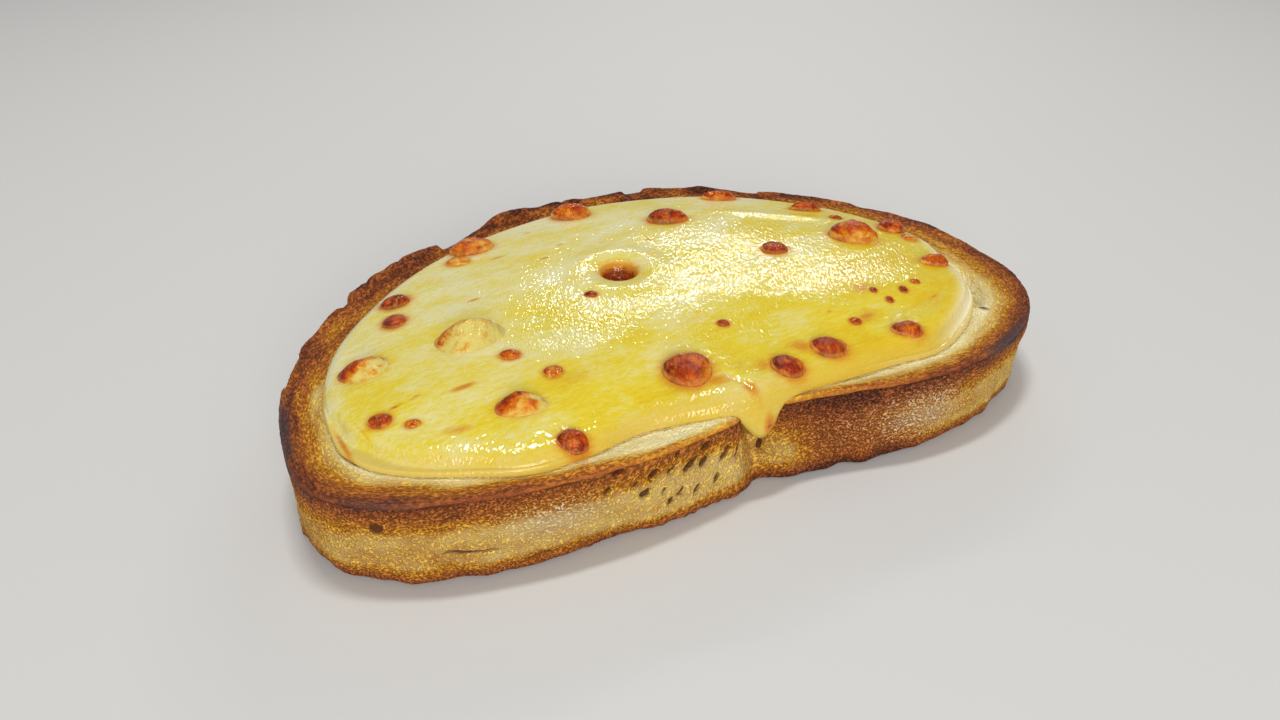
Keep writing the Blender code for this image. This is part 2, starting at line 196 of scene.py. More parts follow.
def grain(x, y, z, cell, seed):
    """Returns smooth random relief from -1 to 1, with lumps of the given size in millimetres."""
    table = np.random.default_rng(seed).uniform(-1.0, 1.0, (GRAIN_CELLS,) * 3)
    place = np.stack(np.broadcast_arrays(x, y, z)) / np.reshape(np.broadcast_to(cell, 3), (3, 1))
    low = np.floor(place).astype(int)
    share = ease(place - low)
    total = np.zeros(place.shape[1:])
    for corner in np.ndindex(2, 2, 2):
        weight = 1.0
        for axis in range(3):
            weight = weight * (share[axis] if corner[axis] else 1.0 - share[axis])
        total += weight * table[tuple((low[axis] + corner[axis]) % GRAIN_CELLS for axis in range(3))]
    return total


def superellipse(t, exponent):
    """Height of a unit superellipse at t, from 1 in the middle to 0 at both ends."""
    return np.maximum(1.0 - np.abs(t) ** exponent, 0.0) ** (1.0 / exponent)


def rim_outline(count, front_share=1.0):
    """Returns points round the rim, anticlockwise, with their outward normals.

    The notched side gets front_share times as many points for its length as the dome does."""
    t = np.sin(np.linspace(-0.5 * math.pi, 0.5 * math.pi, OUTLINE_SAMPLES))
    to_right = 0.5 + 0.5 * np.tanh(2.0 * t)
    tip_line = TIP_LEVEL + TIP_SLANT * t
    depth = FRONT_DEPTH[0] + (FRONT_DEPTH[1] - FRONT_DEPTH[0]) * to_right
    roundness = DOME_ROUNDNESS[0] + (DOME_ROUNDNESS[1] - DOME_ROUNDNESS[0]) * to_right
    x = 0.5 * SLICE_LENGTH * t
    waist = WAIST_DEPTH * hump(x - WAIST_X, WAIST_WIDTH) * superellipse(t, 4.0)
    front = np.column_stack((x, tip_line - depth * superellipse(t, FRONT_ROUNDNESS) + waist))
    back = np.column_stack((x, tip_line + DOME_RISE * superellipse(t, roundness)))
    loop = np.vstack((front[:-1], back[:0:-1]))
    closed = np.vstack((loop, loop[:1]))
    steps = np.hypot(*np.diff(closed, axis=0).T)
    steps = steps * (1.0 + (front_share - 1.0) * ease((-10.0 - closed[:-1, 1]) / 25.0))
    run = np.concatenate(([0.0], np.cumsum(steps)))
    stops = np.linspace(0.0, run[-1], count, endpoint=False)
    points = np.column_stack([np.interp(stops, run, closed[:, axis]) for axis in (0, 1)])
    along = np.roll(points, -1, axis=0) - np.roll(points, 1, axis=0)
    normals = np.column_stack((along[:, 1], -along[:, 0]))
    return points, normals / np.hypot(*normals.T)[:, None]


def crease_share(x):
    """Returns 1 in the middle of the crease and 0 beside it."""
    return ease(1.0 - np.abs(x - CREASE_X) / CREASE_HALF_WIDTH)


def chute(x, y):
    """Returns how far the top of the bread drops where the sauce runs over at the crease."""
    return CHUTE_DROP * crease_share(x) * ease((CHUTE_START_Y - y) / (CHUTE_START_Y - CHUTE_END_Y))


def rotated(x, y, angle):
    """Returns a point's position along and across a bearing."""
    cosine, sine = math.cos(math.radians(angle)), math.sin(math.radians(angle))
    return x * cosine + y * sine, y * cosine - x * sine


def turned(x, y, place):
    """Returns a point's position along and across an oval, in units of its half length and width."""
    centre_x, centre_y, angle, half_length, half_width = place
    along, across = rotated(x - centre_x, y - centre_y, angle)
    return along / half_length, across / half_width


def air_holes(x, y):
    """Returns the depth of the hollows in the crumb."""
    depth = np.zeros_like(x)
    for *place, hole_depth in AIR_HOLES:
        along, across = turned(x, y, place)
        depth += hole_depth * (1.0 - ease((np.hypot(along, across) - 0.45) / 0.55))
    return depth


def flake_height(bearings):
    """Returns the height of the crust's lip, with its raised flakes, at each bearing."""
    height = round_trip(bearings, CRUST_LIP)
    for first, last, rise, taper_first, taper_last in FLAKES:
        height += rise * ease((bearings - first) / taper_first) * ease((last - bearings) / taper_last)
    return height


def foot_reach(bearings):
    """Returns how far the lower edge juts out past the rim."""
    reach = round_trip(bearings, FOOT_REACH)
    for middle, size, width in CHIPS:
        reach += size * hump(bearing_gap(bearings, middle), width)
    return reach


def sauce_outline(bearings):
    """Returns the distance from the sauce's middle to its edge at each bearing about that middle."""
    points, normals = rim_outline(EDGE_SAMPLES)
    band = round_trip(bearing_of(*points.T), RIM_BAND)
    edge = points - normals * band[:, None] - np.array(SAUCE_CENTRE)
    angles = np.degrees(np.arctan2(edge[:, 1], edge[:, 0])) % 360.0
    order = np.argsort(angles)
    return np.interp(bearings, angles[order], np.hypot(*edge.T)[order], period=360.0)


def sauce_thickness(x, y, to_edge):
    """Returns the thickness of the smooth sauce at a point that lies to_edge from its edge."""
    height = round_trip(bearing_of(x, y), SAUCE_EDGE)
    roll = np.sqrt(np.clip(1.0 - (1.0 - np.clip(to_edge / SAUCE_EDGE_RUN, 0.0, 1.0)) ** 2, 0.0, 1.0))
    thickness = SAUCE_LIP_HEIGHT + (height - SAUCE_LIP_HEIGHT) * roll
    rise = 1.0 - np.clip(1.0 - to_edge / SAUCE_RISE_RUN, 0.0, 1.0) ** 2
    thickness += (SAUCE_MIDDLE - height) * rise
    inside = ease(to_edge / 7.0)
    for *place, swell in SWELLS:
        along, across = turned(x, y, place)
        thickness += swell * inside * np.exp(-(along**2) - across**2)
    away = np.hypot(x - CRATER_X, y - CRATER_Y)
    thickness += DISH_RIM * hump(away - DISH_RADIUS, 3.0) - DISH_DEPTH * ease(1.0 - away / DISH_RADIUS)
    return thickness - PIT_DEPTH * np.exp(-((away / PIT_RADIUS) ** 6))


# ---- mesh helpers
def start_clean():
    """Leaves edit mode and deselects everything."""
    if bpy.context.object and bpy.context.object.mode != "OBJECT":
        bpy.ops.object.mode_set(mode="OBJECT")
    bpy.ops.object.select_all(action="DESELECT")


def open_mesh(name):
    """Names the mesh that was just added and selects all of it in edit mode."""
    piece = bpy.context.object
    piece.name = piece.data.name = name
    bpy.ops.object.mode_set(mode="EDIT")
    bpy.ops.mesh.select_all(action="SELECT")
    return piece


def extrude(count, step):
    """Extrudes what is selected up or down, count times."""
    for _ in range(count):
        bpy.ops.mesh.extrude_region_move(TRANSFORM_OT_translate={"value": (0.0, 0.0, step)})


def close_mesh():
    """Turns all faces outwards, smooths them and leaves edit mode."""
    bpy.ops.mesh.select_all(action="SELECT")
    bpy.ops.mesh.normals_make_consistent(inside=False)
    bpy.ops.mesh.faces_shade_smooth()
    bpy.ops.object.mode_set(mode="OBJECT")


def read_places(piece):
    """Returns a mesh's corners in millimetres."""
    places = np.empty(len(piece.data.vertices) * 3)
    piece.data.vertices.foreach_get("co", places)
    return places.reshape(-1, 3) / MM


def set_places(piece, places):
    """Moves a mesh's corners to places in millimetres."""
    piece.data.vertices.foreach_set("co", (np.asarray(places) * MM).ravel())
    piece.data.update()


def paint(piece, name, values):
    """Stores one number for each corner of a mesh, which a material reads by its name."""
    layer = piece.data.attributes.new(name, "FLOAT", "POINT")
    layer.data.foreach_set("value", np.asarray(values, dtype=np.float32).ravel())


def finish_piece(piece, node, material):
    """Gives a finished piece its material and ties it to the frame."""
    piece.data.materials.clear()
    piece.data.materials.append(material)
    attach(piece, "root")
    if node:
        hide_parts(node)


# ---- materials
BUMP_STRENGTH = 0.9


def arithmetic(operation, swapped=False):
    """Makes a method that adds one Math node."""

    def added(self, other):
        first, second = (other, self) if swapped else (self, other)
        return self.recipe.node("ShaderNodeMath", {"operation": operation}, {0: first, 1: second})

    return added


class Wire:
    """A socket on its way through a material: sums on it add Math nodes."""

    def __init__(self, recipe, socket):
        self.recipe, self.socket = recipe, socket

    __add__, __radd__ = arithmetic("ADD"), arithmetic("ADD", swapped=True)
    __sub__, __rsub__ = arithmetic("SUBTRACT"), arithmetic("SUBTRACT", swapped=True)
    __mul__, __rmul__ = arithmetic("MULTIPLY"), arithmetic("MULTIPLY", swapped=True)
    low = arithmetic("MINIMUM")


class Recipe:
    """A material being made: every call adds one node and returns its output."""

    def __init__(self, name):
        self.material = bpy.data.materials.new(name)
        self.material.use_nodes = True
        self.tree = self.material.node_tree
        self.tree.nodes.clear()
        self.place = self.node("ShaderNodeTexCoord", {}, {}, "Object")

    def node(self, kind, settings, sockets, output=0):
        """Adds a node: its settings first, then the values or links of its sockets."""
        added = self.tree.nodes.new(kind)
        for name, value in settings.items():
            if name == "stops":
                ramp = added.color_ramp
                while len(ramp.elements) < len(value):
                    ramp.elements.new(0.5)
                for element, (position, colour) in zip(ramp.elements, value):
                    element.position = position
                    element.color = (*colour, 1.0)
            else:
                setattr(added, name, value)
        for name, value in sockets.items():
            if isinstance(value, Wire):
                self.tree.links.new(value.socket, added.inputs[name])
            else:
                added.inputs[name].default_value = value
        return Wire(self, added.outputs[output])

    def attribute(self, name):
        """Reads a number painted on the piece."""
        return self.node("ShaderNodeAttribute", {"attribute_name": name}, {}, "Fac")

    def noise(self, size, detail, roughness, turn=0.0, warp=0.0):
        """Returns cloudy noise about 0.5, with lumps of a size in millimetres, turned about Z."""
        scale = tuple(length * MM for length in size)
        stretch = {"Vector": self.place, "Rotation": (0.0, 0.0, math.radians(turn)), "Scale": scale}
        place = self.node("ShaderNodeMapping", {"vector_type": "TEXTURE"}, stretch)
        return self.cloud(place, detail, roughness, warp)

    def cloud(self, place, detail, roughness, warp):
        """Returns cloudy noise about 0.5, with lumps of size 1."""
        sockets = {"Vector": place, "Scale": 1.0, "Detail": detail, "Roughness": roughness}
        sockets["Distortion"] = warp
        return self.node("ShaderNodeTexNoise", {}, sockets)

    def step(self, value, low, high, first=0.0, last=1.0):
        """Eases from first to last while value runs from low to high."""
        settings = {"interpolation_type": "SMOOTHSTEP"}
        sockets = {"Value": value, 1: low, 2: high, 3: first, 4: last}
        return self.node("ShaderNodeMapRange", settings, sockets)

    def mix(self, share, first, second):
        """Mixes two colours."""
        first, second = (tint if isinstance(tint, Wire) else (*tint[:3], 1.0) for tint in (first, second))
        settings = {"data_type": "RGBA", "clamp_factor": True}
        return self.node("ShaderNodeMix", settings, {0: share, 6: first, 7: second}, 2)

    def ramp(self, value, stops):
        """Turns a value into a colour."""
        return self.node("ShaderNodeValToRGB", {"stops": stops}, {"Fac": value})

    def bump(self, height, distance):
        """Turns relief, in units of distance millimetres, into a normal."""
        sockets = {"Height": height, "Distance": distance * MM, "Strength": BUMP_STRENGTH}
        return self.node("ShaderNodeBump", {}, sockets)

    def finish(self, sockets):
        """Ends the material in a Principled shader."""
        shader = self.node("ShaderNodeBsdfPrincipled", {}, sockets)
        end = self.tree.nodes.new("ShaderNodeOutputMaterial")
        self.tree.links.new(shader.socket, end.inputs["Surface"])
        return self.material


def seen(red, green, blue):
    """Turns a colour as it looks on a screen, from 0 to 255, into the linear one that a shader takes."""
    shares = np.array((red, green, blue)) / 255.0
    linear = np.where(shares <= 0.04045, shares / 12.92, ((shares + 0.055) / 1.055) ** 2.4)
    return tuple(float(share) for share in linear)


# ---- the toast
RIM_POINTS, FRONT_SHARE = 1040, 1.35
# Rings of the slice: insets of the foot, rings of the wall, brow and rim, insets under the sauce
FOOT_INSETS = (26.0, 12.0, 5.0, 2.0, 0.8)
WALL_TOP = 16.3
BROW_INSET = 0.9
WALL_RINGS, BROW_RINGS, RIM_RINGS = 37, 10, 34
RIM_REACH = 16.0
UNDER_SAUCE_INSETS = (18.5, 22.0)
# How far the wall lies in behind the rim, as (height, distance)
WALL_INSETS = (
    (0, 1), (0.5, 0.2), (2.5, 0), (6.5, -0.1), (10.5, -0.1), (14, 0), (16.3, 0.1),
)

# Width of the browned band of the rim, as (bearing, width)
BROWN_BAND = (
    (0, 10.3), (20, 9.4), (45, 8), (90, 8), (135, 8.5), (165, 8.6), (182, 8.4), (200, 7.4), (215, 4.8),
    (235, 2.4), (255, 1.6), (270, 1.2), (285, 1.8), (300, 3.2), (318, 5.8), (335, 8),
)
# How dark the very edge is, as (bearing, darkness)
EDGE_DARKNESS = (
    (0, 0.8), (45, 0.8), (90, 0.84), (130, 0.88), (165, 0.82), (185, 0.86), (200, 0.86), (215, 0.76),
    (245, 0.52), (285, 0.5), (300, 0.64), (320, 0.82), (338, 0.86),
)
# Browning of the wall halfway up, as (bearing, browning)
WALL_BROWNING = (
    (0, 0.33), (45, 0.4), (90, 0.5), (135, 0.45), (180, 0.36), (200, 0.3), (225, 0.27), (245, 0.27),
    (262, 0.31), (268, 0.38), (275, 0.46), (290, 0.5), (305, 0.4), (320, 0.3), (340, 0.3),
)
# Charred stretches of the edge, painted a grey that also stands for the sheen on the burnt crust, as
# (bearing, half width, amount)
CHARRED = (
    (184, 9, 0.75), (327, 8, 0.8), (204, 7, 0.5),
)
# Browner patches of the notched side, as (x, height, half length, half height, browning)
WALL_PATCHES = (
    (17, 9, 11, 7, 0.22), (27, 3, 6, 3, 0.15), (-16, 8, 13, 6, -0.04), (-60, 5, 8, 4, 0.04),
    (4, 6, 5, 5, -0.2), (-4, 15, 5, 3, 0.12),
)
# Floury patches of the notched side, as (x, height, half length, half height, amount)
FLOUR = (
    (-42, 9.5, 10, 4, 0.9), (34, 9, 9, 5.5, 0.95), (16, 8, 14, 6, 0.25), (-17, 7, 9, 4, 0.25),
)
# Pores of the notched side, as (x, height, half length, half width, tilt from the level, share of the depth)
WALL_PORES = (
    (-69.7, 12, 1, 0.95, 0, 0.3), (-30.6, 15.6, 0.9, 0.6, 20, 1), (-32.7, 12.4, 0.6, 0.4, 30, 1),
    (-24, 12.8, 0.9, 0.6, 30, 1), (-25.8, 9.5, 0.9, 0.6, 30, 1), (-20.2, 11.9, 0.8, 0.55, 45, 1),
    (-16.2, 11.4, 1.5, 0.8, 40, 1), (-13.4, 10.8, 0.9, 0.6, 45, 1), (-13.3, 14.1, 1.1, 0.65, 35, 1),
    (-19, 15.3, 0.5, 0.35, 40, 1), (-8.9, 10.8, 1.6, 0.5, 65, 1), (-5.5, 10.3, 1.4, 0.45, 68, 1),
    (-10.4, 5.8, 0.8, 0.4, 60, 1), (-15, 5.8, 0.8, 0.4, 50, 1), (-18.6, 6.7, 0.8, 0.4, 50, 1),
    (-20.7, 5.4, 0.7, 0.4, 50, 1), (-27.5, 12, 0.5, 0.35, 40, 1), (-22, 8.4, 0.5, 0.3, 45, 1),
    (0.9, 7.2, 1, 0.4, 80, 1),
)
PORE_DEPTH, PORE_SIZE = 1.7, 1.2
TOAST_PAINTS = ("browning", "hollow", "roughening", "flour", "char")
# Middle and half width of the soft crumb of the notched side, and the slope of its strands
CRUMB_X, CRUMB_WIDTH, CRUMB_SLOPE = -16.0, 15.0, 58.0
# Shadow at the near end of the hollow beside the sauce, as (x, y, bearing, half length, half width)
HOLLOW_END = (61.3, -34.4, -62.0, 2.6, 0.9)
# Cracks of the notched side, as (x, height) of both ends, depth and half width
WALL_CRACKS = (
    (-61.2, 6.3, -50.9, 5.2, 0.6, 0.38), (-49.9, 1.8, -41.7, 3, 0.45, 0.34),
    (-60.5, 12, -57.7, 14, 0.45, 0.34), (-58.6, 13.9, -57, 14.4, 0.5, 0.55),
)
# Splits that run along the rim, as (first bearing, last bearing, inset, depth, half width)
RIM_SPLITS = (
    (104, 151, 2.3, 1, 0.32), (110, 146, 3.6, 0.6, 0.28), (106, 150, 1.1, 0.5, 0.25),
    (76, 100, 2.2, 0.8, 0.35), (80, 98, 1, 0.5, 0.25), (152, 168, 1.8, 0.8, 0.3), (174, 214, 1.3, 0.4, 0.3),
    (22, 62, 1.8, 0.6, 0.45), (312, 345, 1.9, 0.5, 0.4), (216, 256, 1, 0.3, 0.3),
)


def ring_plan():
    """Lists the rings of the slice from the middle of its foot, up the wall and in over the rim."""
    levels = np.concatenate(((0.0, 0.2, 0.45, 0.8), np.linspace(1.2, WALL_TOP, WALL_RINGS)))
    insets = np.concatenate((np.linspace(BROW_INSET, RIM_REACH, RIM_RINGS), UNDER_SAUCE_INSETS))
    return (
        [("foot", inset) for inset in FOOT_INSETS]
        + [("wall", level) for level in levels]
        + [("brow", share) for share in np.linspace(0.0, 1.0, BROW_RINGS + 2)[1:-1]]
        + [("rim", inset) for inset in insets]
    )


def ring_stack(name, count, rings):
    """Extrudes a filled circle again and again into a closed tube with a known place for each corner."""
    start_clean()
    bpy.ops.mesh.primitive_circle_add(vertices=count, radius=1.0, fill_type="NGON")
    piece = open_mesh(name)
    extrude(rings - 1, 1.0)
    close_mesh()
    x, y, z = read_places(piece).T * MM
    ring = np.rint(z).astype(int)
    point = np.rint(np.arctan2(y, x) / (2.0 * math.pi) * count).astype(int) % count
    return piece, ring, point


def toast_shape():
    """Works out the corners of the slice ring by ring, with what its material needs to know of each."""
    points, normals = rim_outline(RIM_POINTS, FRONT_SHARE)
    rim_x, rim_y = points.T
    bearings = bearing_of(rim_x, rim_y)
    turn = np.radians(bearings)
    flakes = flake_height(bearings)
    flakes = flakes * (1.0 + 0.1 * grain(rim_x, rim_y, 0.0, 4.5, 31) * ease(flakes / 1.5))
    foot = foot_reach(bearings) + 0.35 * grain(rim_x, rim_y, 0.0, 3.4, 32)
    crease = crease_share(rim_x) * (rim_y < OUTLINE_CENTRE_Y)
    drop = chute(rim_x, np.minimum(rim_y, CHUTE_END_Y)) * crease
    wall_insets = np.array(WALL_INSETS).T

    def on_wall(level, draw_in=0.0):
        up = level / SLICE_THICKNESS
        wave = WALL_WAVE * (0.6 * np.sin(9.0 * turn + 0.3 * level) + 0.2 * np.sin(23.0 * turn - 0.5 * level))
        groove = crease * (CREASE_DEPTH_FOOT + (CREASE_DEPTH_TOP - CREASE_DEPTH_FOOT) * up)
        reach = (
            foot * float(ease((12.0 - level) / 12.0))
            + FLAKE_OVERHANG * flakes * float(ease((level - 10.0) / 6.0))
            + wave * math.sin(math.pi * up)
            - float(np.interp(level, *wall_insets))
            - groove
            - draw_in
        )
        height = level * (SLICE_THICKNESS - drop) / SLICE_THICKNESS
        return np.column_stack((points + normals * reach[:, None], height))

    def on_rim(inset):
        outer_share = max(1.0 - inset / 16.0, 0.0)
        lean = FLAKE_OVERHANG * flakes * outer_share**4
        reach = lean - CREASE_DEPTH_TOP * crease * outer_share - inset
        x, y = (points + normals * reach[:, None]).T
        crust = flakes * float(ease((4.0 - inset) / 4.0)) - RIM_SAG * float(ease((inset - 1.0) / 4.0))
        return np.column_stack((x, y, SLICE_THICKNESS + crust - chute(x, y) - air_holes(x, y)))

    band = round_trip(bearings, BROWN_BAND)
    edge = round_trip(bearings, EDGE_DARKNESS)
    wall_middle = round_trip(bearings, WALL_BROWNING)
    notched = rim_y < -25.0
    domed = ease((rim_y + 20.0) / 10.0)
    charred = sum(amount * hump(bearing_gap(bearings, middle), width) for middle, width, amount in CHARRED)
    corners, weave, browning, hollow, rough, flour, char = ([] for _ in range(7))
    for kind, value in ring_plan():
        if kind == "foot":
            place = on_wall(0.0, value)
        elif kind == "wall":
            place = on_wall(value)
        elif kind == "brow":
            lower, upper = on_wall(WALL_TOP), on_rim(BROW_INSET)
            out, rise = 1.0 - math.cos(0.5 * math.pi * value), math.sin(0.5 * math.pi * value)
            place = lower + (upper - lower) * np.array((out, out, rise))
        else:
            place = on_rim(value)
        x, y, z = place.T
        if kind in ("foot", "wall"):
            relief, dark = wall_relief(x, y, z, notched)
            if kind == "foot":
                relief = relief * 0.0
            place[:, :2] += normals * relief[:, None]
            brown = wall_middle + under_rim(z, edge) + patches(x, z, notched, WALL_PATCHES)
            brown = brown + 0.5 * float(ease((4.5 - value) / 4.5)) * (kind == "wall")
            crumb, up = soft_crumb(x, notched), z - 9.0
            cell = ((x - 0.62 * crumb * up) / 0.46, y / 0.46, up / (0.37 * (1.0 + 0.6 * crumb)))
            rough.append(np.ones(len(x)))
            flour.append(patches(x, z, notched, FLOUR))
            char.append(charred * float(ease((value - 14.5) / 2.0)) * (kind == "wall"))
        else:
            inset = value if kind == "rim" else BROW_INSET * value
            relief, dark = rim_relief(x, y, inset, bearings)
            place[:, 2] += relief
            # painted shadow at the near end of the air hole beside the sauce
            along, across = turned(x, y, HOLLOW_END)
            dark = np.maximum(dark, 0.5 * np.exp(-(along**4) - across**2))
            if kind == "brow":
                crags = 0.16 * grain(x, y, z, 0.8, 33)
                place[:, :2] += normals * crags[:, None] * math.sin(math.pi * value)
            brown = 1.12 * edge * np.clip(1.0 - inset / (1.08 * band), 0.0, 1.0) ** 0.95
            lined = (0.1 + 0.18 * domed) * grain(x, y, inset, (7.0, 7.0, 0.9), 41)
            brown = brown + lined * ease(brown * 4.0)
            # painted highlight: a lighter line along the very edge of the domed side
            brown = brown - 0.3 * domed * float(hump(inset, 0.6))
            cell = (x / 0.9, y / 0.9, 0.0 * x + inset / 0.36)
            # the notched side's edge is smoother and evener, and its slightly paler colour is a painted
            # highlight
            smooth_highlit_edge = (rim_y < -18.0) * float(hump(inset - 0.3, 0.3))
            rough.append(0.75 - 0.45 * smooth_highlit_edge)
            flour.append(0.0 * x)
            char.append(charred * float(hump(inset - 0.7, 1.5)))
        corners.append(place)
        weave.append(np.column_stack(cell))
        browning.append(np.clip(brown, 0.0, 1.0))
        hollow.append(dark)
    return tuple(np.array(rows) for rows in (corners, weave, browning, hollow, rough, flour, char))


def soft_crumb(x, notched):
    """Returns 1 where the notched side shows soft crumb."""
    return notched * np.exp(-(((x - CRUMB_X) / CRUMB_WIDTH) ** 4))


def wall_relief(x, y, z, notched):
    """Returns how far the wall stands out at each point, and how much painted shade it gets in a pore or
    crack.
    """
    relief = 0.14 * grain(x, y, z, (7.0, 7.0, 0.9), 11) + 0.22 * grain(x, y, z, 2.8, 12)
    relief += 0.1 * grain(x, y, z, 0.95, 13)
    strands = grain(*rotated(x, z, CRUMB_SLOPE), 0.0, (3.6, 0.8, 1.0), 14)
    relief += 0.22 * soft_crumb(x, notched) * strands
    # dark gathers the painted shade in the pores and cracks; deeper ones are darker
    deep, dark = np.zeros_like(x), np.zeros_like(x)
    for pore_x, pore_z, half_length, half_width, tilt, share in WALL_PORES:
        place = (pore_x, pore_z, tilt, PORE_SIZE * half_length, PORE_SIZE * half_width)
        a, b = turned(x, z, place)
        hole = np.exp(-((a * a + b * b) ** 2)) * notched
        deep, dark = np.maximum(deep, share * hole), np.maximum(dark, (0.55 + 0.45 * share) * hole)
    crack = np.zeros_like(x)
    for first_x, first_z, last_x, last_z, depth, half_width in WALL_CRACKS:
        run = math.hypot(last_x - first_x, last_z - first_z)
        angle = math.degrees(math.atan2(last_z - first_z, last_x - first_x))
        place = (0.5 * (first_x + last_x), 0.5 * (first_z + last_z), angle, 0.5 * run, half_width)
        a, b = turned(x, z, place)
        wander = 1.3 * grain(x, y, z, 2.2, 15)
        crack = np.maximum(crack, depth * np.exp(-(a**4) - (b + wander) ** 2) * notched)
    return relief - PORE_DEPTH * deep - crack, np.maximum(dark, crack)


def under_rim(z, edge):
    """Returns how much browner the wall is under its edge."""
    return (0.08 + 0.55 * edge) * ease((z - 9.0) / 8.0)


def patches(x, z, notched, spots):
    """Adds up the patches of the notched side at each point."""
    total = np.zeros_like(x)
    for middle_x, middle_z, half_length, half_height, amount in spots:
        total += amount * np.exp(-(((x - middle_x) / half_length) ** 2) - ((z - middle_z) / half_height) ** 2)
    return total * notched


def rim_relief(x, y, inset, bearings):
    """Returns the relief of the top face near its edge, and the painted shade in its splits."""
    coarse = 1.0 - 0.75 * float(ease((inset - 3.0) / 6.0))
    relief = 0.12 * coarse * grain(x, y, inset, (8.0, 8.0, 0.7), 21)
    relief += 0.22 * coarse * grain(x, y, inset, (5.0, 5.0, 2.0), 22)
    relief += 0.07 * coarse * grain(x, y, inset, 0.9, 23)
    relief += 0.3 * coarse * ease((y + 20.0) / 10.0) * grain(x, y, inset, (7.0, 7.0, 0.8), 25)
    split = np.zeros_like(x)
    for first, last, middle, depth, half_width in RIM_SPLITS:
        ends = ease((bearings - first) / 5.0) * ease((last - bearings) / 5.0)
        wander = 0.7 * grain(x, y, 0.0, 5.0, 24)
        split = np.maximum(split, depth * ends * np.exp(-(((inset - middle - wander) / half_width) ** 2)))
    # a split's depth also sets its painted shade
    return relief - split, 0.4 * split


def toast_finish(look):
    """Toasted crumb and crust: pale ridges over dark valleys, both browner towards the edge."""
    bread = Recipe("toasted_bread")
    weave = bread.node("ShaderNodeAttribute", {"attribute_name": "weave"}, {}, "Vector")
    browning, hollow, rough, flour, char = (bread.attribute(name) for name in TOAST_PAINTS)
    maze = bread.cloud(weave, 1.0, 0.5, 0.6)
    ridge = bread.step(maze, 0.38, 0.62)
    crown = bread.step(maze, 0.5, 0.7)
    grit = bread.noise((0.3, 0.3, 0.3), 2.0, 0.6)
    cloud = bread.noise((7.0, 7.0, 4.0), 3.0, 0.55)
    speck = bread.noise((1.6, 1.6, 1.2), 3.0, 0.65)
    toasted = browning + (cloud - 0.5) * 0.3 + (speck - 0.5) * 0.5 * browning.low(0.5)
    # crests paler and valleys darker on the same ridges as the bump: partly the crumb's own colour, partly
    # painted light and shade
    crest = bread.ramp(toasted, look.crest_stops())
    valley = bread.ramp(toasted, look.valley_stops())
    share = (ridge * 1.1 - 0.05 + (grit - 0.5) * 0.5) * rough + (1.0 - rough) * 0.6
    colour = bread.mix(share, valley, crest)
    dusted = flour + (cloud - 0.5) * flour * 1.2
    colour = bread.mix(bread.step(dusted * (0.3 + 0.9 * crown), 0.1, 0.8, 0.0, 0.85), colour, look.flour)
    # burnt edge with a painted sheen: it goes a bluish grey
    colour = bread.mix(bread.step(char + (speck - 0.5) * 0.5 * char, 0.15, 0.9, 0.0, 0.8), colour, look.char)
    # painted shade: pores, cracks, splits and the near end of the air hole are darkened towards the pore
    # colour
    colour = bread.mix(bread.step(hollow, 0.12, 0.5, 0.0, 0.92), colour, look.pore)
    height = ridge * 0.7 + crown * 0.5 + grit * 0.4
    normal = bread.bump(height * rough, look.relief / MM)
    gloss = bread.step(toasted, 0.5, 1.0, 0.8, 0.55)
    return bread.finish({
        "Base Color": colour, "Roughness": gloss, "Normal": normal, "Specular IOR Level": 0.15,
        "Subsurface Weight": 0.05, "Subsurface Scale": 0.001, "Subsurface Radius": (1.0, 0.6, 0.3),
    })


# ---- the sauce
SHEET_CELLS = (400, 250)
EDGE_CROWDING = 1.15
# The rings below the sheet's edge, as (share of the way down, push outwards, push where the tongue hangs)
SIDE_RINGS = (
    (0.16, 0.22, 0.55), (0.36, 0.36, 0.95), (0.58, 0.38, 1.1), (0.8, 0.25, 0.85), (0.95, 0, 0.2),
    (1, -0.4, -0.9),
)
# Lower edge of the tongue that hangs in the crease, as (x, height)
TONGUE_EDGE = (
    (-7.6, 17.3), (-6, 16.6), (-4.6, 15.1), (-3.2, 13.1), (-1.9, 11.5), (-0.8, 10.7), (0.4, 10.6),
    (1.4, 11.3), (2.3, 13), (3.1, 15.2), (4.2, 16.6), (6.4, 17.3),
)
# Width of the thin film that has crept out past the sauce's rounded edge, as (bearing, width)
FILM_WIDTH = (
    (0, 0), (90, 0), (176, 0), (184, 0.2), (190, 1.2), (196, 2.4), (203, 1.3), (215, 0.5), (230, 0.1),
    (240, 0), (262, 0), (300, 0), (315, 0.9), (330, 1.2), (342, 0.4),
)
FILM_THICKNESS = 0.5
FLOW_ANGLE = 4.0
VIEW_TURN = 25.5
# Narrow folds in the surface, as (x, y) of both ends, depth, half width and browning
FOLDS = (
    (-4.4, -38.5, -3, -42.5, 0.35, 0.8, 0.15), (-3, -42, -1.4, -45.6, 0.5, 0.8, 0.5),
)
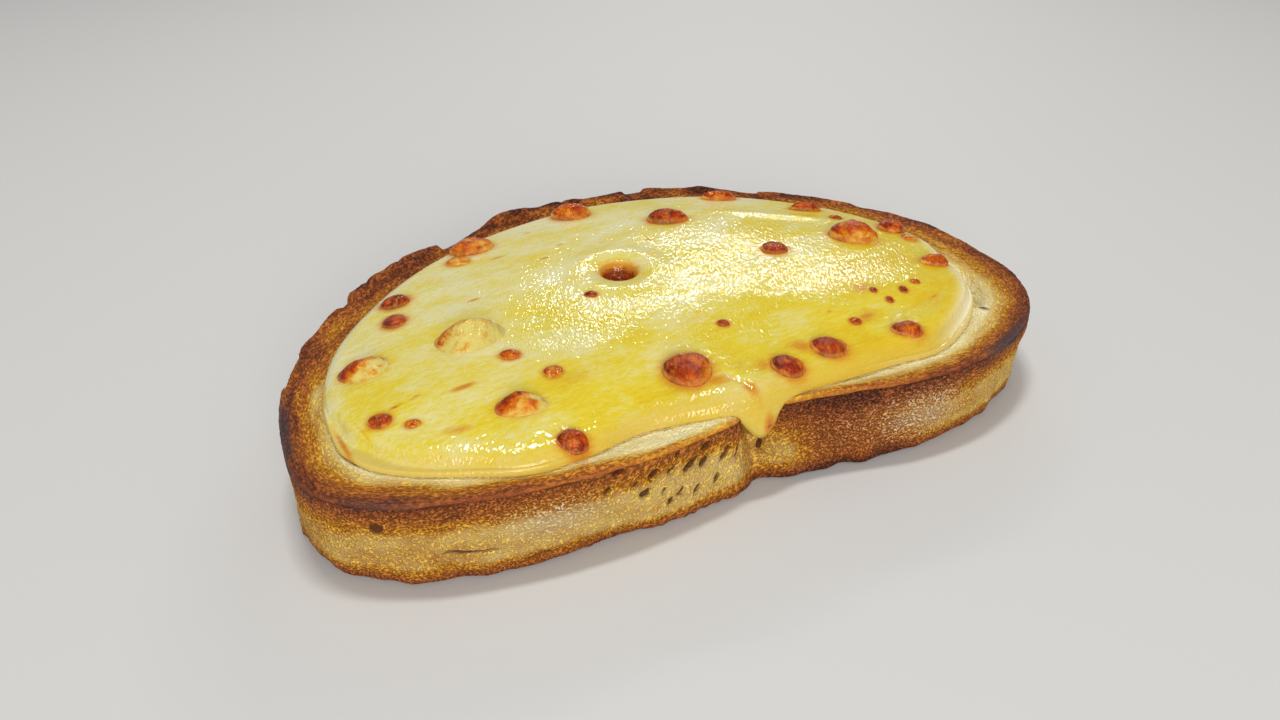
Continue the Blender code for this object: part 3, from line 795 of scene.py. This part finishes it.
# Faint spots and streaks of browning, one a painted shade line, as (x, y, bearing, half length, half width,
# browning)
SPOTS = (
    (-18.3, 30.3, 0, 1.2, 0.8, 0.35), (4.9, 13.1, 0, 1.5, 1, 0.4), (12.7, -10.7, 0, 1.4, 1.4, 0.25),
    (-52.9, -33.3, -10, 3, 1.1, 0.4), (-28.9, 20.4, 6, 1.7, 0.3, 0.8), (-19.8, 14.7, 8, 1.3, 0.3, 0.7),
    (-14.3, 19.6, 8, 1, 0.3, 0.6), (-39.2, 3.7, 8, 1.6, 0.35, 0.7), (-49.2, -24, 4, 2.4, 0.6, 0.75),
    # the thin line at (-67.4, -25.5) is painted shade
    (-70.8, -25.5, -82, 5, 0.5, 0.6), (-67.4, -25.5, -72, 3, 0.25, 0.35), (-61.2, -23.1, 8, 1.2, 0.3, 0.8),
    (-57.5, -22.5, 8, 1.2, 0.3, 0.6), (24.1, -30.5, 0, 0.6, 0.5, 0.5), (49, -33, 20, 2, 0.5, 0.4),
    (35.5, -26, 0, 3, 2, 0.4), (-7.5, -39.5, -20, 4, 1.8, 0.5), (13.2, -37.2, -20, 3.2, 2, 0.5),
    (2.8, -39.6, -10, 2.6, 2.4, 0.4), (30.5, -34, 15, 3.4, 1.6, 0.45), (-30.5, -30, 10, 6, 3, 0.22),
    (-2, -22, 0, 9, 4, 0.16), (-1, -38, 0, 4, 3, 0.2),
)


def sauce_level(x, y):
    """Returns the height of the sauce's surface at a point of the slice, and the way to its edge."""
    bearings = np.degrees(np.arctan2(y - SAUCE_CENTRE[1], x - SAUCE_CENTRE[0])) % 360.0
    to_edge = sauce_outline(bearings) - np.hypot(x - SAUCE_CENTRE[0], y - SAUCE_CENTRE[1])
    film = round_trip(bearing_of(x, y), FILM_WIDTH)
    inside = np.maximum(to_edge - film, 0.0)
    thickness = sauce_thickness(x, y, inside)
    thin = (1.0 - FILM_THICKNESS / SAUCE_LIP_HEIGHT) * (1.0 - ease(inside / 1.6)) * ease(film / 1.2)
    thickness = thickness * (1.0 - thin)
    brushed = grain(*rotated(x, y, FLOW_ANGLE), 0.0, (15.0, 5.0, 1.0), 52)
    relief = 0.06 * grain(x, y, 0.0, 8.0, 51) + 0.07 * brushed + 0.012 * grain(x, y, 0.0, 1.25, 54)
    for *ends, depth, half_width, _ in FOLDS:
        relief -= depth * fold_share(x, y, ends, half_width)
    return SLICE_THICKNESS + JOINT_GAP + thickness + relief * ease(inside / 4.0), to_edge


def fold_share(x, y, ends, half_width):
    """Returns 1 on the line between two points and less beside it."""
    first_x, first_y, last_x, last_y = ends
    run_x, run_y = last_x - first_x, last_y - first_y
    share = np.clip(((x - first_x) * run_x + (y - first_y) * run_y) / (run_x**2 + run_y**2), 0.0, 1.0)
    away = np.hypot(x - first_x - share * run_x, y - first_y - share * run_y)
    return hump(away, half_width) * (0.4 + 0.6 * np.sin(math.pi * np.clip(share, 0.02, 0.98)))


def toasting_at(x, y, z):
    """Returns how browned the sauce is round its blisters, crater, folds and faint spots."""
    browned = np.zeros_like(x)
    for spot_x, spot_y, length, width, angle, _, brown, bare in BLISTERS:
        along, across = turned(x, y, (spot_x, spot_y, angle, 0.5 * length, 0.5 * width))
        away = np.hypot(along, across)
        halo = np.exp(-np.maximum(away - 0.9, 0.0) * (1.6 + 0.1 * length))
        browned = np.maximum(browned, (0.32 + 0.5 * brown) * (1.0 - 0.6 * bare) * halo)
    for *place, brown in SPOTS:
        along, across = turned(x, y, place)
        browned = np.maximum(browned, brown * np.exp(-np.hypot(along, across) ** 1.5))
    for *ends, _, half_width, brown in FOLDS:
        browned = np.maximum(browned, brown * fold_share(x, y, ends, 1.6 * half_width))
    streak = np.hypot((x - 0.5 - 0.1 * (14.0 - z)) / 1.2, (z - 13.9) / 2.4)
    browned = np.maximum(browned, 0.85 * np.exp(-(streak**2)) * (y < -43.0))
    away = np.hypot(x - CRATER_X, y - CRATER_Y)
    inside = 1.0 * np.exp(-((away / (PIT_RADIUS - 0.1)) ** 6))
    return np.maximum(browned, inside + 0.42 * np.exp(-((away / (PIT_RADIUS + 1.8)) ** 4)))


def sauce_shape():
    """Casts a grid to the sauce's outline and surface, turns its edge down and paints its browning."""
    start_clean()
    bpy.ops.mesh.primitive_grid_add(x_subdivisions=SHEET_CELLS[0], y_subdivisions=SHEET_CELLS[1], size=2.0)
    piece = open_mesh("cheese_sheet")
    bpy.ops.mesh.region_to_loop()
    extrude(len(SIDE_RINGS), -1.0)
    bpy.ops.mesh.edge_face_add()
    close_mesh()
    u, v, depth = read_places(piece).T * MM
    ring = np.rint(-depth).astype(int)
    disc_x, disc_y = u * np.sqrt(1.0 - 0.5 * v * v), v * np.sqrt(1.0 - 0.5 * u * u)
    direction = np.arctan2(disc_y, disc_x)
    share = 1.0 - (1.0 - np.clip(np.hypot(disc_x, disc_y), 0.0, 1.0)) ** EDGE_CROWDING
    reach = share * sauce_outline(np.degrees(direction) % 360.0)
    x = SAUCE_CENTRE[0] + reach * np.cos(direction)
    y = SAUCE_CENTRE[1] + reach * np.sin(direction)
    level, to_edge = sauce_level(x, y)
    hanging = crease_share(x) * (y < -30.0)
    foot = np.where(y < -30.0, np.interp(x, *np.array(TONGUE_EDGE).T), SLICE_THICKNESS) - 0.4
    fall = level - foot
    for number, (down, push, tongue_push) in enumerate(SIDE_RINGS, start=1):
        here = ring == number
        out = push + (tongue_push - push) * hanging[here]
        x[here] += out * np.cos(direction[here])
        y[here] += out * np.sin(direction[here])
        level[here] -= down * fall[here]
    set_places(piece, np.column_stack((x, y, level)))
    paint(piece, "toasting", toasting_at(x, y, level))
    paint(piece, "edge", ease((5.0 - to_edge) / 5.0))
    film = round_trip(bearing_of(x, y), FILM_WIDTH)
    paint(piece, "film", ease((film - to_edge) / 0.8) * ease(film / 0.6))
    # foot: share of the way down the side, darkened in the material as painted shade
    paint(piece, "foot", ease((ring - 2.0) / 4.0))
    return piece


def sauce_finish(look):
    """Baked cheese sauce: cream and lemon in brushed streaks, orange round the blisters, wet on top."""
    sauce = Recipe("cheese_sauce")
    toasting, edge = sauce.attribute("toasting"), sauce.attribute("edge")
    clouds = sauce.noise((15.0, 8.0, 10.0), 3.0, 0.55, FLOW_ANGLE)
    streaks = sauce.noise((2.8, 0.7, 0.7), 3.0, 0.6, FLOW_ANGLE)
    fine = sauce.noise((1.1, 0.3, 0.3), 2.0, 0.6, FLOW_ANGLE)
    freckle = sauce.noise((0.7, 0.7, 0.7), 2.0, 0.5)
    across = sauce.node("ShaderNodeSeparateXYZ", {}, {"Vector": sauce.place}, "X")
    depth = sauce.node("ShaderNodeSeparateXYZ", {}, {"Vector": sauce.place}, "Y")
    rightwards = across * 0.9 - depth * 0.43
    # side makes the sauce paler towards the back and the left: a painted sheen
    side = across * 2.0 - depth * 5.0
    richness = 0.45 + (clouds - 0.5) * 1.1 + (streaks - 0.5) * 0.6 + (fine - 0.5) * 0.6 + side
    colour = sauce.ramp(richness - edge * 0.1, look.cheese_stops())
    # painted shade: the front of the sauce's edge darkened to a deeper yellow-brown
    colour = sauce.mix(edge * sauce.step(depth, -0.045, -0.02, 0.68, 0.0), colour, look.honey_shade)
    # painted light: the right end of the sauce's edge made paler
    colour = sauce.mix(edge * sauce.step(rightwards, 0.054, 0.066, 0.0, 1.1), colour, look.roll)
    colour = sauce.mix(sauce.attribute("film") * 0.8, colour, look.film)
    # painted shade: darker towards the foot of the sauce's edge
    colour = sauce.mix(sauce.attribute("foot") * 0.3, colour, look.honey_shade)
    mottled = toasting * (0.6 + 0.8 * streaks) + (freckle - 0.5) * 0.3 * toasting
    colour = sauce.mix(sauce.step(mottled, 0.06, 0.5), colour, look.amber)
    colour = sauce.mix(sauce.step(mottled, 0.5, 0.95), colour, look.russet)
    speckle = sauce.step(sauce.noise((1.2, 0.6, 1.0), 1.0, 0.5, FLOW_ANGLE), 0.74, 0.8)
    colour = sauce.mix(speckle * 0.5, colour, look.amber)
    peel = sauce.noise((0.7, 1.3, 0.9), 0.0, 0.35, -VIEW_TURN, 0.8)
    normal = sauce.bump(peel, look.relief / MM)
    return sauce.finish({
        "Base Color": colour, "Roughness": look.roughness, "Normal": normal, "Specular IOR Level": 0.5,
        "Specular Tint": (1.0, 0.96, 0.8, 1.0),
        "Subsurface Weight": 0.1, "Subsurface Scale": 0.0012, "Subsurface Radius": (1.0, 0.75, 0.3),
    })


# ---- the blisters
BLISTER_SINK, SIDES_PER_MM = 0.7, 9.0
# The bearing that the camera looks along
VIEW_BEARING = 64.5


def blister_shape(number, spot):
    """Models one blister: a ball whose top is drawn into a wrinkled dome and whose foot is flattened."""
    spot_x, spot_y, length, width, angle, height, brown, bare = spot
    sides = int(min(max(length * SIDES_PER_MM, 20.0), 96.0)) // 2 * 2
    start_clean()
    bpy.ops.mesh.primitive_uv_sphere_add(segments=sides, ring_count=sides // 2, radius=1.0)
    piece = open_mesh(f"blister_{number:02d}")
    close_mesh()
    u, v, w = read_places(piece).T * MM
    around = np.arctan2(v, u)
    seed = 800 + number
    up = np.clip(w, 0.0, 1.0)
    fold = grain(u, v, w, 0.45, seed) + 0.5 * grain(u, v, w, 0.2, seed + 50)
    lobes = 1.0 + 0.04 * np.sin(3.0 * around + number) + 0.04 * np.cos(2.0 * around)
    reach = lobes * (1.0 + 0.02 * fold)
    turn = math.radians(angle)
    along, across = 0.5 * length * u * reach, 0.5 * width * v * reach
    x = spot_x + along * math.cos(turn) - across * math.sin(turn)
    y = spot_y + along * math.sin(turn) + across * math.cos(turn)
    # back and side are measured from the camera's side of each blister, to place painted light and shade
    away_back, away_left = rotated(x - spot_x, y - spot_y, VIEW_BEARING)
    back, side = away_back / (0.5 * width), -away_left / (0.5 * length)
    wrinkle = grain(side, back, 0.0, (0.17, 0.6, 1.0), seed + 90)
    crease = ease(1.0 - np.abs(wrinkle) / 0.3) * ease(up * 2.5) * (grain(u, v, w, 0.5, seed + 7) > -0.3)
    ground, _ = sauce_level(x, y)
    dome = height * up ** (1.1 + 1.3 * bare) * (1.0 + 0.1 * fold)
    dome += 0.035 * length**0.5 * crease * up
    set_places(piece, np.column_stack((x, y, ground + np.where(w > 0.0, dome, BLISTER_SINK * w))))
    away = np.hypot(u, v)
    line = hump(away - 0.85, 0.05) + 0.6 * hump(away - 0.71, 0.035) * ease(0.3 - side)
    # over the real browning: a darker line round the back-left is painted shade, and the paler front-right
    # below is painted light through the skin
    browning = brown + 0.16 * fold + 0.26 * line * ease(0.7 + 1.2 * back - 0.8 * side) * (w > 0.0)
    browning -= 0.5 * np.clip(np.abs(side) - 0.6, 0.0, 0.4) * (1.0 - line)
    browning -= bare * brown * ease(0.1 + 0.9 * bare**4 + 1.4 * side - 0.9 * back)
    arcs = line + hump(away - 0.97, 0.04) + 0.7 * hump(away - 0.6, 0.03)
    lit = ease(0.55 + 1.1 * back - 0.8 * side)
    browning += 0.42 * bare**2 * arcs * lit * (1.0 + 0.6 * fold) * (w > 0.0)
    paint(piece, "browning", np.clip(browning, 0.0, 1.2 - 0.85 * bare))
    paint(piece, "crease", crease)
    # foot: paler front foot, painted light shining through the thin skin
    paint(piece, "foot", ease((away - 0.86) / 0.14) * (w > 0.0) * ease(0.6 - back))
    # rim: thin pale line round the back of the foot, a painted highlight
    paint(piece, "rim", hump(away - 0.955, 0.035) * (w > 0.0) * ease(0.5 + 1.5 * back - side))
    return piece


def blister_finish(look):
    """The skin of a blister: amber to deep red, glossy and finely wrinkled."""
    skin = Recipe("blister_skin")
    browning, foot, crease = (skin.attribute(name) for name in ("browning", "foot", "crease"))
    blotch = skin.noise((1.4, 1.4, 1.4), 3.0, 0.6, 0.0, 0.5)
    spot = skin.noise((0.32, 0.32, 0.32), 1.0, 0.6, 0.0, 0.7)
    tone = browning + (blotch - 0.5) * 0.8 + (spot - 0.5) * 0.9 * browning.low(0.5)
    colour = skin.ramp(tone, look.skin_stops())
    # lighter amber along the wrinkles: a painted highlight on their ridges
    colour = skin.mix(crease * browning.low(0.5) * 0.6, colour, look.amber)
    # painted light at the front foot
    colour = skin.mix(foot * 0.18, colour, look.straw)
    # painted highlight along the back of the rim
    colour = skin.mix(skin.attribute("rim") * 0.4, colour, look.rim_highlight)
    normal = skin.bump(blotch * 1.6 + spot * 0.35, 0.32)
    return skin.finish({
        "Base Color": colour, "Roughness": 0.12, "Normal": normal, "Specular IOR Level": 0.5,
        "Specular Tint": (1.0, 0.66, 0.36, 1.0),
        "Subsurface Weight": 0.05, "Subsurface Scale": 0.001, "Subsurface Radius": (1.0, 0.4, 0.1),
    })


# ---- the stage
CAMERA_PLACE = (-0.074564, -0.149222, 0.112383)
CAMERA_TILT, CAMERA_TURN = 56.0, -25.5
CAMERA_FOCUS_PIXELS, PHOTO_WIDTH_PIXELS = 869.0, 1280.0
SENSOR_WIDTH = 36.0
LIGHT_AIM = (0.0, 0.0, 0.018)
FLOOR_SIZE = 8.0
# Lamps, as (name, bearing, elevation, distance, size, setting that holds the power, share of it)
LAMPS = (
    ("gloss_lamp_left", 66.0, 31.4, 0.75, (0.14, 0.014), "gloss_power", 0.3),
    ("gloss_lamp_right", 49.5, 28.6, 0.75, (0.28, 0.014), "gloss_power", 0.6),
    ("fill_lamp", 253.0, 19.0, 0.9, (0.6, 0.4), "fill_power", 1.0),
    ("top_lamp", 84.0, 79.0, 0.9, (0.22, 0.06), "top_power", 1.0),
)


def add_light(name, bearing, elevation, distance, size, power):
    """Adds a rectangular lamp that looks at the slice from a bearing and an elevation."""
    start_clean()
    turn, rise = math.radians(bearing), math.radians(elevation)
    out = np.array((math.cos(turn) * math.cos(rise), math.sin(turn) * math.cos(rise), math.sin(rise)))
    place = np.array(LIGHT_AIM) + out * distance
    tilt = (0.5 * math.pi - rise, 0.0, turn + 0.5 * math.pi)
    bpy.ops.object.light_add(type="AREA", location=tuple(place), rotation=tilt)
    lamp = bpy.context.object
    lamp.name = lamp.data.name = name
    lamp.data.shape = "RECTANGLE"
    lamp.data.size, lamp.data.size_y = size
    lamp.data.energy = power


def floor_finish(look):
    """Plain pale floor."""
    ground = Recipe("pale_floor")
    mottle = ground.noise((60.0, 60.0, 60.0), 2.0, 0.5)
    colour = ground.mix(mottle * 0.06, look.floor, (0.6, 0.6, 0.6))
    return ground.finish({"Base Color": colour, "Roughness": 0.6, "Specular IOR Level": 0.2})


# ---- what a user may change
def colour_property(name, description, tint):
    """Makes a colour that a user can change, from one as it looks on a screen."""
    return bpy.props.FloatVectorProperty(
        name=name, description=description, subtype="COLOR", min=0.0, max=1.0, default=seen(*tint)
    )


class ToastSettings(bpy.types.PropertyGroup):
    """Colours and relief of the toast."""

    crumb: colour_property("Crumb", "Untoasted crumb next to the sauce", (255, 247, 198))
    straw: colour_property("Straw", "Lightly toasted crumb", (252, 216, 104))
    gold: colour_property("Gold", "Golden toast", (236, 172, 50))
    russet: colour_property("Russet", "Red-brown crust", (214, 130, 56))
    umber: colour_property("Umber", "Dark crust", (178, 94, 46))
    soot: colour_property("Soot", "Darkest crust", (112, 56, 36))
    # Valley colours: partly the crumb's own, partly painted shade in its small hollows
    pale_valley: colour_property("Pale valleys", "Valleys of the untoasted crumb", (250, 230, 162))
    brown_valley: colour_property("Brown valleys", "Valleys of the golden toast", (146, 78, 14))
    dark_valley: colour_property("Dark valleys", "Valleys of the dark crust", (50, 24, 14))
    # Charred edge, its grey a painted sheen on the burnt crust
    char: colour_property("Char", "Charred stretches of the edge", (74, 66, 68))
    flour: colour_property("Flour", "Floury patches of the wall", (228, 214, 182))
    # Painted shade inside the pores, cracks and splits
    pore: colour_property("Pores", "Inside of the pores and cracks", (96, 50, 26))
    relief: bpy.props.FloatProperty(
        name="Relief", description="Depth of the crumb's fine relief", default=0.0004, min=0.0, unit="LENGTH",
    )

    def crest_stops(self):
        """Returns the colours of the crests from crumb to soot."""
        tints = (self.crumb, self.straw, self.gold, self.russet, self.umber, self.soot)
        return [(0.2 * number, tuple(tint)) for number, tint in enumerate(tints)]

    def valley_stops(self):
        """Returns the colours of the valleys from crumb to soot."""
        stops = ((0.0, self.pale_valley), (0.4, self.brown_valley), (0.9, self.dark_valley))
        return [(position, tuple(tint)) for position, tint in stops]


class SauceSettings(bpy.types.PropertyGroup):
    """Colours and surface of the sauce."""

    cream: colour_property("Cream", "Palest streaks of the sauce", (228, 221, 172))
    butter: colour_property("Butter", "Pale yellow of the sauce", (226, 212, 122))
    lemon: colour_property("Lemon", "Main yellow of the sauce", (224, 202, 52))
    yolk: colour_property("Yolk", "Richest yellow of the sauce", (222, 184, 8))
    film: colour_property("Film", "Thin film of sauce past the edge", (218, 190, 92))
    # Painted light on the right end of the sauce's edge
    roll: colour_property("Roll", "Pale rounded edge on the right", (250, 242, 202))
    # Painted shade on the front and the foot of the sauce's edge
    honey_shade: colour_property("Honey", "Foot and front of the sauce's edge", (210, 174, 66))
    amber: colour_property("Amber", "Browned sauce round the blisters", (208, 138, 30))
    russet: colour_property("Russet", "Darkest browning of the sauce", (146, 46, 10))
    roughness: bpy.props.FloatProperty(
        name="Roughness", description="Roughness of the sauce", default=0.08, min=0.0, max=1.0,
        subtype="FACTOR",
    )
    relief: bpy.props.FloatProperty(
        name="Relief", description="Depth of the sauce's fine relief", default=0.00011, min=0.0,
        unit="LENGTH",
    )

    def cheese_stops(self):
        """Returns the colours of the sauce from cream to yolk."""
        stops = ((0.15, self.cream), (0.38, self.butter), (0.6, self.lemon), (0.9, self.yolk))
        return [(position, tuple(tint)) for position, tint in stops]


class BlisterSettings(bpy.types.PropertyGroup):
    """Colours of the blisters."""

    # Also the painted light at the front foot of a blister
    straw: colour_property("Straw", "Unbrowned skin", (216, 198, 108))
    # Also the painted highlight along the wrinkles
    amber: colour_property("Amber", "Lightly browned skin", (212, 140, 22))
    ember: colour_property("Ember", "Red-orange skin", (190, 70, 6))
    garnet: colour_property("Garnet", "Dark red skin", (132, 24, 6))
    soot: colour_property("Soot", "Darkest skin", (84, 20, 14))
    # Painted highlight round the back of a blister's rim
    rim_highlight: colour_property("Edge", "Thin skin where a blister meets the sauce", (240, 188, 104))

    def skin_stops(self):
        """Returns the colours of the skin from straw to soot."""
        tints = (self.straw, self.amber, self.ember, self.garnet, self.soot)
        return [(0.05 + 0.2 * number, tuple(tint)) for number, tint in enumerate(tints)]


class StudioSettings(bpy.types.PropertyGroup):
    """Floor and lamps."""

    floor: colour_property("Floor", "Colour of the floor", (214, 213, 210))
    surround: bpy.props.FloatProperty(
        name="Surround", description="Strength of the even light from all round", default=0.33, min=0.0,
    )
    gloss_power: bpy.props.FloatProperty(
        name="Gloss lamps", description="Power of the lamps that the sauce mirrors", default=0.8, min=0.0,
        unit="POWER",
    )
    fill_power: bpy.props.FloatProperty(
        name="Fill lamp", description="Power of the lamp on the notched side", default=5.6, min=0.0,
        unit="POWER",
    )
    top_power: bpy.props.FloatProperty(
        name="Top lamp", description="Power of the lamp overhead", default=3.2, min=0.0, unit="POWER",
    )


class RAREBIT_OT_toast(bpy.types.Operator):
    """Models the slice of toasted bread"""

    bl_idname = "rarebit.toast"
    bl_label = "Toast"

    def execute(self, context):
        """Extrudes the rings, lays them out as the slice and gives them their finish."""
        corners, weave, *painted = toast_shape()
        piece, ring, point = ring_stack("toasted_bread", RIM_POINTS, len(corners))
        set_places(piece, corners[ring, point])
        for name, values in zip(TOAST_PAINTS, painted):
            paint(piece, name, values[ring, point])
        layer = piece.data.attributes.new("weave", "FLOAT_VECTOR", "POINT")
        layer.data.foreach_set("vector", weave[ring, point].astype(np.float32).ravel())
        finish_piece(piece, "toast_slice", toast_finish(context.scene.rarebit_toast))
        return {"FINISHED"}


class RAREBIT_OT_sauce(bpy.types.Operator):
    """Models the sheet of cheese sauce"""

    bl_idname = "rarebit.sauce"
    bl_label = "Cheese sauce"

    def execute(self, context):
        """Casts the sheet and gives it its finish."""
        finish_piece(sauce_shape(), "cheese_sauce", sauce_finish(context.scene.rarebit_sauce))
        return {"FINISHED"}


class RAREBIT_OT_blisters(bpy.types.Operator):
    """Models the blisters on the sauce"""

    bl_idname = "rarebit.blisters"
    bl_label = "Blisters"

    def execute(self, context):
        """Models each blister and joins them into one piece."""
        domes = [blister_shape(number, spot) for number, spot in enumerate(BLISTERS)]
        start_clean()
        for dome in domes:
            dome.select_set(True)
        context.view_layer.objects.active = domes[0]
        bpy.ops.object.join()
        piece = context.object
        piece.name = piece.data.name = "blisters"
        finish_piece(piece, None, blister_finish(context.scene.rarebit_blisters))
        return {"FINISHED"}


class RAREBIT_OT_stage(bpy.types.Operator):
    """Adds the floor, the lamps and the camera"""

    bl_idname = "rarebit.stage"
    bl_label = "Stage"

    def execute(self, context):
        """Sets up a pale floor, soft light and the camera."""
        look = context.scene.rarebit_studio
        start_clean()
        bpy.ops.mesh.primitive_plane_add(size=FLOOR_SIZE, location=(0.0, 0.0, 0.0))
        floor = context.object
        floor.name = "floor"
        floor.data.materials.append(floor_finish(look))
        world = bpy.data.worlds.new("surround")
        world.use_nodes = True
        sky = world.node_tree.nodes["Background"].inputs
        sky["Color"].default_value = (1.0, 1.0, 1.0, 1.0)
        sky["Strength"].default_value = look.surround
        context.scene.world = world
        for *lamp, setting, share in LAMPS:
            add_light(*lamp, share * getattr(look, setting))
        start_clean()
        bpy.ops.object.camera_add(
            location=CAMERA_PLACE, rotation=(math.radians(CAMERA_TILT), 0.0, math.radians(CAMERA_TURN))
        )
        camera = context.object
        camera.data.sensor_width = SENSOR_WIDTH
        camera.data.lens = SENSOR_WIDTH * CAMERA_FOCUS_PIXELS / PHOTO_WIDTH_PIXELS
        camera.data.clip_start = 0.01
        context.scene.camera = camera
        context.scene.view_settings.view_transform = "Standard"
        return {"FINISHED"}


class RAREBIT_PT_panel(bpy.types.Panel):
    """Lists the pieces with their colours and other settings"""

    bl_idname = "RAREBIT_PT_panel"
    bl_label = "Welsh rarebit"
    bl_space_type = "VIEW_3D"
    bl_region_type = "UI"
    bl_category = "Rarebit"

    def draw(self, context):
        """Draws a button for each piece with its settings under it."""
        for operator, group, setting in PIECES:
            box = self.layout.box()
            box.operator(operator.bl_idname)
            for name in group.__annotations__:
                box.prop(getattr(context.scene, setting), name)


PIECES = (
    (RAREBIT_OT_toast, ToastSettings, "rarebit_toast"),
    (RAREBIT_OT_sauce, SauceSettings, "rarebit_sauce"),
    (RAREBIT_OT_blisters, BlisterSettings, "rarebit_blisters"),
    (RAREBIT_OT_stage, StudioSettings, "rarebit_studio"),
)


def register():
    """Registers the classes and ties the settings to the scene."""
    for operator, group, setting in PIECES:
        bpy.utils.register_class(group)
        bpy.utils.register_class(operator)
        setattr(bpy.types.Scene, setting, bpy.props.PointerProperty(type=group))
    bpy.utils.register_class(RAREBIT_PT_panel)


def unregister():
    """Takes the classes and the settings away."""
    bpy.utils.unregister_class(RAREBIT_PT_panel)
    for operator, group, setting in reversed(PIECES):
        delattr(bpy.types.Scene, setting)
        bpy.utils.unregister_class(operator)
        bpy.utils.unregister_class(group)


def main():
    """Makes every piece and the stage."""
    register()
    bpy.ops.rarebit.toast()
    bpy.ops.rarebit.sauce()
    bpy.ops.rarebit.blisters()
    bpy.ops.rarebit.stage()


if __name__ == "__main__":
    main()
